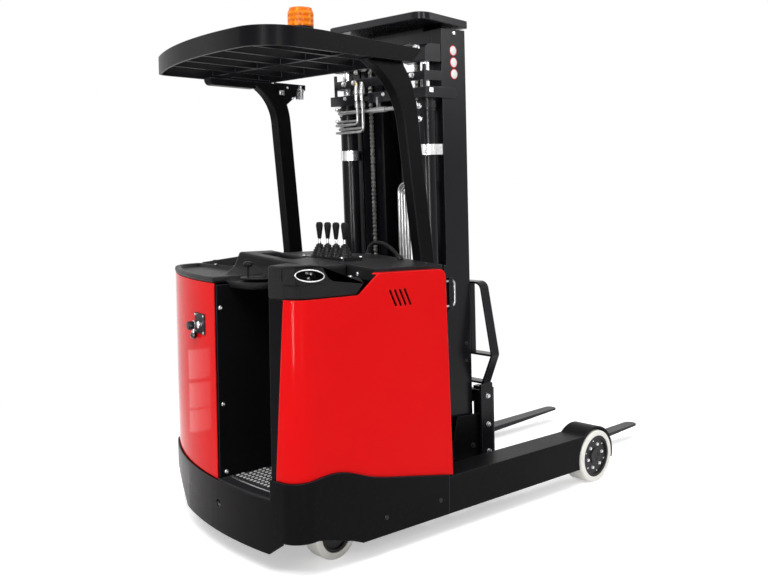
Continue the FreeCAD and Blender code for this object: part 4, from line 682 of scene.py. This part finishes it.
def treadStuds(settings):
    # lozenge: a rectangle with cut corners, turned by the slant; each column is sheared further than the last
    half = np.array([settings["long"], settings["wide"]]) / 2
    corner = np.array([[0.55, -1], [1, -0.35], [1, 0.35], [0.55, 1]])
    corner = np.concatenate([corner, -corner])
    points, faces = slab(corner * half @ flatTurn(settings["slant"]), -0.0005, settings["high"], 0.0009)
    rows = np.arange(settings["right"], settings["left"], settings["pitchY"])
    columns = np.arange(settings["rear"], settings["front"], settings["pitchX"])
    gridX, gridY = np.meshgrid(columns, rows)
    gridY = gridY + (np.arange(len(columns)) * settings["shear"] % settings["pitchY"])[None]
    far = np.hypot(gridX - settings["arcX"], gridY - settings["arcY"])
    keep = (far < settings["stripRadius"] - settings["stripGap"]) & (gridX < settings["front"] - 0.006)
    keep &= between(gridY, (settings["right"], settings["left"]))
    places = np.column_stack([gridX[keep], gridY[keep], np.full(keep.sum(), floorTop)])
    return repeated(places[:, None] + points, faces)


def arcStrip(settings, inner, outer, low, high, margin):
    # a band between two radii about the arc's centre, its upper rims cut, closed by its ends
    y = np.linspace(settings["right"] - margin, settings["left"] + margin, 40)
    cut = 0.0008
    rings = []
    for radius, z in ((outer, low), (inner, low), (inner, high - cut), (inner + cut, high), (outer - cut, high),
                      (outer, high - cut)):
        x = settings["arcX"] - np.sqrt(radius ** 2 - (y - settings["arcY"]) ** 2)
        rings.append(np.column_stack([x, y, np.full(len(y), z)]))
    return stack(np.stack(rings, 1))


strip, stripHalf = tread["stripRadius"], tread["stripHalf"]
addPiece("treadStuds", treadStuds(tread), "matStud", smoothAngle=30)
addPiece("treadEdging", arcStrip(tread, strip - stripHalf, strip + stripHalf, floorTop - 0.001,
                                 floorTop + tread["stripHigh"], 0.002), "zincBright")
ribY = np.arange(tread["right"] + 0.006, tread["left"] - 0.004, tread["ribPitch"])
ribX = tread["arcX"] - np.sqrt((strip + tread["ribOut"]) ** 2 - (ribY - tread["arcY"]) ** 2)
rib = slab(oblong(*tread["ribHalf"]), -0.0005, 0.0022, 0.001)
ribs = joined([moved(rib, (x, y, floorTop)) for x, y in zip(ribX, ribY)])
addPiece("sillRibs", ribs, "frame_black")
print("stage: tread laid")

# fasteners: each row is a head, its finish, the node that it stands on, the way of a line towards that node and
# the places where such a line starts
leftward, forward, downward = (0, 1, 0), (1, 0, 0), (0, 0, -1)
fasteners = {
    "panelScrews": (socketHead(0.0085, 0.006), "zincBright", "inner_panel", leftward,
        [(-1.308, -0.3, 0.951), (-1.303, -0.3, 0.575), (-1.295, -0.3, 0.307)]),
    "trayScrews": (socketHead(0.008, 0.004), "zincBright", "console_top", downward,
        [(-0.938, 0.456, 1.3), (-0.938, 0.3, 1.3)]),
    "lidRearScrews": (domeHead(0.008, 0.004), "zincBright", "power_lid", forward,
        [(-1.2, -0.297, 1.085), (-1.2, -0.482, 1.078)]),
    "lidTopScrews": (socketHead(0.009, 0.004), "hub_black", "power_lid", downward,
        [(-0.6, -0.545, 1.3), (-0.6, 0.545, 1.3), (-0.885, 0.545, 1.3)]),
    "leverPlateScrews": (socketHead(0.007, 0.004), "zincBright", "lever_bank", downward,
        [(-0.866, -0.095, 1.3), (-0.866, -0.335, 1.3), (-0.765, -0.095, 1.3), (-0.765, -0.335, 1.3)]),
    "headBolts": (hexHead(0.026, 0.016, 1.35), "zincBright", "middle_mast", forward,
        [(-0.8, -0.248, 2.01), (-0.8, 0.248, 2.01)]),
    "railTopScrew": (socketHead(0.008, 0.007), "zincBright", "outer_mast", leftward, [(-0.18, -0.6, 2.089)]),
    "railLowScrews": (hexHead(0.013, 0.006), "hub_black", "outer_mast", leftward,
        [(-0.085, -0.6, 0.62), (-0.085, -0.6, 0.7)]),
    "anchorNuts": (hexHead(0.019, 0.012), "zincBright", "outer_mast", forward,
        [(-0.6, 0.154, 1.899), (-0.6, -0.154, 1.899), (-0.6, 0.225, 1.899), (-0.6, -0.225, 1.899)]),
    "bracketNuts": (hexHead(0.013, 0.007), "zincBright", "outer_mast", forward,
        [(-0.6, -0.05, 1.83), (-0.6, -0.2, 1.83), (-0.6, 0.21, 1.83)]),
    "endPlateBolts": (hexHead(0.018, 0.01), "zincBright", "fork_carriage", leftward,
        [(0.018, -0.6, 0.444), (0.023, -0.6, 0.31), (0.029, -0.6, 0.18)]),
    "carriageBolts": (hexHead(0.018, 0.009), "hub_black", "reach_carriage", leftward, [(-0.06, -0.9, 0.22)]),
    "deckBolts": (domeHead(0.01, 0.005), "hub_black", "chassis_skirt", leftward,
        [(-0.6, -1.2, 0.15), (-0.9, -1.2, 0.15)]),
    "capBolts": (hexHead(0.016, 0.009), "hub_black", "mast_cap", downward,
        [(-0.3, -0.25, 2.6), (-0.2, -0.25, 2.6), (-0.3, 0.25, 2.6), (-0.2, 0.25, 2.6)]),
    "guardBolts": (hexHead(0.016, 0.009), "hub_black", "overhead_guard", downward,
        [(-0.66, -0.49, 2.6), (-0.66, 0.49, 2.6), (-0.8, -0.49, 2.6), (-0.8, 0.49, 2.6)]),
    "gripPocketScrews": (hexHead(0.012, 0.006), "zincBright", "grip_console", leftward,
        [(-1.223, -0.6, 1.105), (-1.216, -0.6, 1.082), (-1.203, -0.6, 1.1)]),
    "gripScrews": (socketHead(0.007, 0.004), "zincBright", "grip_console", downward,
        [(-1.15, -0.59, 1.4), (-1.04, -0.585, 1.4)]),
}
for name, (head, finish, node, way, starts) in fasteners.items():
    addPiece(name, setOn(head, node, starts, way), finish, bodyOf[node])
print("stage: fasteners set")

# load wheels: a ring of bolts and one of small screws on the dish, and a capped bearing, in the wheel's own body
loadHub = {"x": 0.485, "z": 0.125, "face": 0.6225, "count": 6, "boltRing": 0.057, "boltTurn": 12, "flats": 0.0135,
           "screwRing": 0.076, "screwTurn": 42, "cap": 0.03, "capFace": 0.6235}


def hubRing(settings, side, kind):
    # evenly spaced places on a circle about the axle, on the hub's outer face
    radius = settings[kind + "Ring"]
    turns = np.radians(np.arange(settings["count"]) * 360 / settings["count"] + settings[kind + "Turn"])
    return np.column_stack([settings["x"] + radius * np.cos(turns), np.full(len(turns), side * settings["face"]),
                            settings["z"] + radius * np.sin(turns)])


hubCap = turned([(loadHub["cap"], 0), (loadHub["cap"], 0.004), (loadHub["cap"] - 0.002, 0.006), (0.02, 0.0065),
                 (0.018, 0.0045), (0.01, 0.0045)], 36)
for side, label in sides:
    bolts = copies(hexHead(loadHub["flats"], 0.0065, 1.2), hubRing(loadHub, side, "bolt"), (0, side, 0))
    screws = copies(socketHead(0.0036, 0.003), hubRing(loadHub, side, "screw"), (0, side, 0))
    addPiece("loadHubBolts_" + label, joined([bolts, screws]), "zincBright", "load_wheel_" + label)
    cap = copies(hubCap, (loadHub["x"], side * loadHub["capFace"], loadHub["z"]), (0, side, 0))
    addPiece("loadHubCap_" + label, cap, "hub_black", "load_wheel_" + label)
print("stage: load wheels bolted")

# blank round plates on the right rail: a red disc with a white one on it, as shares of the radius
blankPlates = {"spots": [(-0.1785, 2.013), (-0.175, 1.962), (-0.171, 1.912)], "radius": 0.0235,
               "discs": {"rims": (1, 0.0009, "cover_red"), "faces": (0.84, 0.0014, "signWhite")}}
for part, (share, high, finish) in blankPlates["discs"].items():
    r = blankPlates["radius"] * share
    disc = turned([(r, -0.0003), (r, high - 0.0002), (r - 0.0003, high)], 40)
    shape = setOn(disc, "outer_mast", [(x, -0.6, z) for x, z in blankPlates["spots"]], leftward)
    addPiece("blankPlate_" + part, shape, finish, "mast")

# lock on the left cover: a dark plate with four screws, a lobed metal knob, a ringed knob and a hanging ball
lockSet = {"plate": (0.008, 0.878), "plateHalf": (0.052, 0.041), "plateHigh": 0.004, "screwHalf": (0.044, 0.033),
           "knob": (-0.01, 0.876), "ringed": (0.053, 0.866), "ball": (0.048, 0.827), "ballRadius": 0.0145,
           "ballOut": 0.014}


def lobedKnob(radius, depth, height, lobes=5):
    # the radius swings by the depth with the cosine of the lobes' angle; rounded top and bottom rims
    swing = radius - depth / 2 + depth / 2 * np.cos(lobes * roundAngles(60))
    rows = [(0.55, 0), (0.55, 0.45), (0.92, 0.5), (1, 0.62), (1, 0.85), (0.9, 1), (0.3, 1.04)]
    return turned([(share * swing, level * height) for share, level in rows], 60)


def onCover(spot):
    # the place and outward way of the left cover's rear face at (y, z)
    return landed("rear_cover_left", (-1.8, *spot), forward, 0.0003)


platePlace, plateWay = onCover(lockSet["plate"])
plateShape = slab(oblong(*lockSet["plateHalf"]), -0.003, lockSet["plateHigh"], 0.0015)
addPiece("lockPlate", moved(plateShape, platePlace, turnTo(plateWay)), "console_plastic")
corners = np.column_stack([oblong(*lockSet["screwHalf"])[[0, 3, 1, 2]], np.full(4, lockSet["plateHigh"])])
lockScrews = copies(socketHead(0.0048, 0.003), corners @ turnTo(plateWay).T + platePlace, plateWay)
addPiece("lockScrews", lockScrews, "zincBright")
knobPlace = onCover(lockSet["knob"])[0] + plateWay * lockSet["plateHigh"]
addPiece("lockKnob", copies(lobedKnob(0.0145, 0.005, 0.016), knobPlace, plateWay), "zincBright")
ringPlace, ringWay = onCover(lockSet["ringed"])
barrel = turned([(0.01, -0.002), (0.01, 0.012), (0.0165, 0.013), (0.0175, 0.016), (0.0175, 0.034), (0.0155, 0.037),
                 (0.004, 0.038)], 32)
addPiece("ringedKnob", copies(barrel, ringPlace, ringWay), "hub_black")
band = turned([(0.0172, 0.006), (0.0198, 0.007), (0.0198, 0.0125), (0.0172, 0.0135)], 32)
addPiece("ringedKnobBand", copies(band, ringPlace, ringWay), "chrome_rod")
ballPlace = onCover(lockSet["ball"])[0] + ringWay * lockSet["ballOut"]
climb = np.linspace(-1.45, 1.45, 15)     # radians above the ball's middle
ball = turned(lockSet["ballRadius"] * np.column_stack([np.cos(climb), np.sin(climb)]), 28)
addPiece("hangingBall", moved(ball, ballPlace), "darkGlass")
collar = turned([(0.006, 0.011), (0.0085, 0.0125), (0.0085, 0.017), (0.004, 0.019), (0.004, 0.034)], 20)
addPiece("hangingBallCollar", moved(collar, ballPlace), "chrome_rod")
print("stage: lock fitted")

# gland nuts, fittings and rod nuts of the two lift cylinders, places on the upright mast
lifting = {"x": -0.244, "y": 0.257, "top": 1.8, "fittingOut": 0.039, "fittings": (1.772, 1.716),
           "fittingWay": (-0.9, 0, 0.45), "rodTop": 1.9555}
glandNut = joined([turned([(0.036, 0), (0.036, 0.018), (0.033, 0.021), (0.0225, 0.022), (0.0225, 0.004),
                           (0.03, 0.003)], 36),
                   turned([(0.0415, -0.034), (0.044, -0.032), (0.044, -0.006), (0.0415, -0.004)], 36)])
sideFitting = joined([hexHead(0.022, 0.014),
                      turned([(0.0075, 0.012), (0.0075, 0.03), (0.0095, 0.031), (0.0095, 0.044), (0.007, 0.046)], 20)])
rodNut = hexHead(0.034, 0.016, 1.2)
for side, label in sides:
    x, y = lifting["x"], side * lifting["y"]
    points, faces = moved(glandNut, (x, y, lifting["top"]))
    addPiece("glandNut_" + label, (leaned(points), faces), "hub_black", "mast")
    places = leaned([(x - lifting["fittingOut"], y, height) for height in lifting["fittings"]])
    addPiece("cylinderFittings_" + label, copies(sideFitting, places, lifting["fittingWay"]), "zincBright", "mast")

for side, label in sides:
    nut = copies(rodNut, leaned([(lifting["x"], side * lifting["y"], lifting["rodTop"])]), mastUp)
    addPiece("rodNut_" + label, nut, "zincBright", "middle_stage")

# clamp plate on the rail's arm
armClamp = slab(oblong(0.012, 0.01), -0.0005, 0.004, 0.0012)
addPiece("armClamp", setOn(armClamp, "outer_mast", [(-0.335, -0.6, 1.831)], leftward), "zincBright", "mast")

# hose ends on the bracket behind the cylinders, every second one a step back and down
hoseEnds = {"x": -0.318, "z": 1.87, "step": 0.018,
            "rows": [(0.112, "brassBright"), (0.095, "zincBright"), (0.076, "zincBright"), (0.059, "zincBright")]}
fitting = joined([turned([(0.0085, -0.03), (0.0085, -0.004), (0.0105, -0.002), (0.0105, 0.01), (0.008, 0.012),
                          (0.008, 0.034)], 20), hexHead(0.019, 0.013)])
for index, (y, finish) in enumerate(hoseEnds["rows"]):
    back = (index % 2) * hoseEnds["step"]
    place = leaned([(hoseEnds["x"] - back, y, hoseEnds["z"] - back)])
    addPiece("hoseEnd_%d" % index, copies(fitting, place, mastUp), finish, "mast")
print("stage: mast fittings set")

# sounder on the left guard leg: a bracket plate with a light block and a hanging chrome body
sounder = {"y": 0.418, "body": (-0.497, -0.03, 1.872), "block": (-0.587, -0.0005, 1.858),
           "screws": [(-0.545, 0.001, 1.885), (-0.515, 0.001, 1.838)]}
legPlace, upright = np.array([0, sounder["y"], 0]), turnTo((0, -1, 0))
bracket = slab([[-0.6, 1.796], [-0.56, 1.798], [-0.47, 1.868], [-0.437, 1.88], [-0.437, 1.905], [-0.621, 1.905]],
               -0.002, 0.003, 0.001)
addPiece("sounderBracket", moved(bracket, legPlace + (0, 0.004, 0), upright), "frame_black")
horn = turned([(0.017, -0.042), (0.0195, -0.04), (0.0195, -0.012), (0.0215, -0.01), (0.0215, 0.004), (0.01, 0.006),
               (0.01, 0.022)], 32)
addPiece("sounderBody", moved(horn, legPlace + sounder["body"]), "chrome_rod")
block = slab(oblong(0.013, 0.01), 0, 0.014, 0.002)
addPiece("sounderBlock", moved(block, legPlace + sounder["block"], upright), "zinc_pipe")
addPiece("sounderScrews", copies(domeHead(0.006, 0.004), legPlace + sounder["screws"], (0, -1, 0)), "zincBright")

# beacon: flutes round the lens, whose radius falls with the cube of the climb and waves in level steps
beacon = {"x": -1.142, "y": -0.44, "low": 1.9855, "high": 2.05, "radius": 0.0437, "fall": 0.004, "wave": 0.0007,
          "waves": 5, "flutes": 36, "flute": 0.0009}
share = np.linspace(0, 1, 16)
wave = beacon["wave"] * np.cos(2 * math.pi * beacon["waves"] * share)
bulge = beacon["radius"] - beacon["fall"] * share ** 3 + wave
angle = roundAngles(beacon["flutes"] * 6)
flute = beacon["flute"] * np.abs(np.cos(beacon["flutes"] / 2 * angle))
level = beacon["low"] + (beacon["high"] - beacon["low"]) * share
lens = turned([(r + flute, z) for r, z in zip(bulge, level)], len(angle))
addPiece("beaconLens", moved(lens, (beacon["x"], beacon["y"], 0)), "beacon_amber", smoothAngle=60)
skirt = turned([(0.0445, 1.966), (0.0468, 1.968), (0.0468, 1.982), (0.0455, 1.9835), (0.0468, 1.985), (0.0468, 1.988),
                (0.044, 1.99)], 48)
addPiece("beaconSkirt", moved(skirt, (beacon["x"], beacon["y"], 0)), "console_plastic")

# shallow ring round the dimple of the lid
dimple = turned([(0.021, -0.001), (0.021, 0.0008), (0.0185, 0.0018), (0.0165, 0.0006), (0.006, 0.0002)], 32)
addPiece("lidDimple", setOn(dimple, "power_lid", [(-0.869, -0.447, 1.3)], downward), "console_plastic")

# clamp bolts behind the two bands
bandBolts = copies(hexHead(0.013, 0.008), leaned([(-0.292, -0.2985, 1.575)]), (-1, 0, 0.03))
addPiece("bandBolts", bandBolts, "zincBright", "mast")
print("stage: sounder and beacon made")

# side plate of the grip head: convex outline with an oval hand hole whose rim is a bright bead
gripPlate = {"outline": [(-1.317, 1.069), (-1.162, 1.069), (-1.2, 1.127), (-1.317, 1.127)], "y": -0.6192,
             "centre": (-1.256, 1.099), "half": (0.064, 0.0195), "tilt": -5, "thick": 0.003, "lip": 0.014,
             "bead": 0.0022, "rear": {"right": -0.6165, "left": -0.556, "arcX": tread["arcX"], "arcY": tread["arcY"]},
             "rearRadii": (1.6492, 1.6522)}


def ovalPoints(settings, grow):
    # ellipse at the tilt, its half axes grown by the given length
    angle = roundAngles(64)
    flat = np.column_stack([np.cos(angle), np.sin(angle)]) * (np.array(settings["half"]) + grow)
    return flat @ flatTurn(settings["tilt"]) + settings["centre"]


def outlinePoints(settings, inner):
    # for each inner point, where the ray from the centre through it leaves the convex outline
    corners = np.asarray(settings["outline"])
    spans = np.roll(corners, -1, 0) - corners
    normals = np.column_stack([spans[:, 1], -spans[:, 0]])
    away = inner - settings["centre"]
    reach = ((corners - settings["centre"]) * normals).sum(1)[None] / np.maximum(away @ normals.T, 1e-9)
    return settings["centre"] + away * reach.min(1)[:, None]


def atDepths(layers):
    # flat (x, z) outlines, each at its y
    return np.stack([np.column_stack([flat[:, 0], np.full(len(flat), y), flat[:, 1]]) for flat, y in layers])


oval, wider = ovalPoints(gripPlate, 0), ovalPoints(gripPlate, 0.002)
outer = outlinePoints(gripPlate, oval)
y, inside, lip = (gripPlate["y"] + depth for depth in (0, gripPlate["thick"], gripPlate["lip"]))
addPiece("gripPlate", looped(atDepths([(outer, inside), (outer, y), (wider, y), (oval, y + 0.001), (oval, lip),
                                       (wider, lip), (wider, inside)])), "console_plastic")
rearPlate = arcStrip(gripPlate["rear"], *gripPlate["rearRadii"], gripPlate["outline"][0][1],
                     gripPlate["outline"][2][1] + 0.0008, 0)
addPiece("gripRearPlate", rearPlate, "console_plastic")
section, bead = roundAngles(10), gripPlate["bead"]
rim = atDepths([(ovalPoints(gripPlate, 0.001 + bead * math.cos(turn)), y - bead * 0.35 * math.sin(turn))
                for turn in section])
addPiece("gripRim", looped(rim[::-1]), "zincBright")


def pipeAlong(points, radii, columns):
    # a round section with its own radius at each point; its frame leans on one fixed direction
    path = np.asarray(points, float)
    along = unit(np.gradient(path, axis=0))
    helper = np.array([0.31, 0.17, 0.93]) if abs(along[:, 2]).max() < 0.9 else np.array([0.93, 0.31, 0.11])
    first = unit(np.cross(helper, along))
    second = np.cross(along, first)
    angle = roundAngles(columns)
    circle = np.cos(angle)[None, :, None] * first[:, None] + np.sin(angle)[None, :, None] * second[:, None]
    return stack(path[:, None] + radii[:, None, None] * circle)


# hose over the lid: a cubic Bezier arch between its two entries, whose radius waves with its fine ribs
hose = {"points": [(-0.599, -0.2, 1.116), (-0.599, -0.192, 1.21), (-0.599, -0.33, 1.194), (-0.599, -0.398, 1.11)],
        "radius": 0.0088, "ribs": 44, "depth": 0.0008}
share = np.linspace(0, 1, hose["ribs"] * 4 + 1)[:, None]
p = np.asarray(hose["points"])
rest = 1 - share
arch = rest ** 3 * p[0] + 3 * rest ** 2 * share * p[1] + 3 * rest * share ** 2 * p[2] + share ** 3 * p[3]
swell = hose["radius"] - hose["depth"] * (0.5 + 0.5 * np.cos(share[:, 0] * hose["ribs"] * 2 * np.pi))
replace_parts(addPiece("heldHose", pipeAlong(arch, swell, 14), "hose_rubber", smoothAngle=50), "hose_loop")
hoseCuff = turned([(0.0115, -0.004), (0.012, 0), (0.012, 0.012), (0.01, 0.015), (0.008, 0.0155)], 24)
cuffs = [copies(hoseCuff, p[0] + (0, 0, 0.004), p[1] - p[0]), copies(hoseCuff, p[3] + (0, 0.002, 0.006), p[2] - p[3])]
addPiece("hoseCuffs", joined(cuffs), "hub_black")
print("stage: grip and hose made")


def areaLamp(name, place, target, size, power, onlyShines):
    # a rectangle that looks from its place at its target
    data = bpy.data.lights.new(name, "AREA")
    data.shape = "RECTANGLE"
    data.size, data.size_y = size
    data.energy = power
    lamp = linked(name, data)
    lamp.visible_camera = False
    lamp.visible_diffuse = not onlyShines
    lamp.matrix_world = aimed(Vector(place), Vector(target) - Vector(place))


def buildStudio(settings):
    # pale floor that keeps the truck's soft shadow and fades into plain white away from it; the surroundings are
    # plain white to the camera, in reflections and through glass, and a level light on everything else
    white, level = (1, 1, 1), settings["worldLevel"]
    world = bpy.data.worlds.new("surroundings")
    world.use_nodes = True
    bpy.context.scene.world = world
    air = Nodes(world.node_tree)
    camera, glossy, through = (air.add("ShaderNodeLightPath", output=ray)
                               for ray in ("Is Camera Ray", "Is Glossy Ray", "Is Transmission Ray"))
    seen = camera.math("MAXIMUM", glossy).math("MAXIMUM", through)
    back = air.tree.nodes["Background"]
    air.feed(back.inputs["Color"], white)
    air.feed(back.inputs["Strength"], seen * (1 - level) + level)

    paint = Shader("floorPaint")
    camera, glossy = (paint.add("ShaderNodeLightPath", output=ray) for ray in ("Is Camera Ray", "Is Glossy Ray"))
    seen = camera.math("MAXIMUM", glossy)
    spot = paint.place(settings["glowStretch"])
    away = paint.add("ShaderNodeVectorMath", {"operation": "LENGTH"}, {0: spot}, "Value")
    fade = away.above(settings["glowStart"], settings["glowEnd"] - settings["glowStart"])
    plain = paint.add("ShaderNodeEmission", {}, {"Color": white, "Strength": 1})
    glow = paint.add("ShaderNodeEmission", {}, {"Color": white, "Strength": seen * settings["floorGlow"]})
    paint.set({"Base Color": settings["floorColour"], "Roughness": 0.9, "Specular IOR Level": 0})
    lit = paint.add("ShaderNodeAddShader", {}, {0: Wire(paint, paint.surface.outputs[0]), 1: glow})
    end = paint.add("ShaderNodeMixShader", {}, {0: fade * seen, 1: lit, 2: plain})
    paint.feed(paint.tree.nodes["Material Output"].inputs["Surface"], end)
    mesh = bpy.data.meshes.new("floorSheet")
    corners = np.column_stack([oblong(settings["floorHalf"], settings["floorHalf"]), np.zeros(4)])
    mesh.from_pydata(corners.tolist(), [], [(0, 1, 2, 3)])
    mesh.materials.append(paint.material)
    linked("floorSheet", mesh)
    bpy.context.scene.view_settings.view_transform = "Standard"


buildStudio(studio)
for name, lamp in lamps.items():
    areaLamp(name, *lamp)
print("stage: studio built")
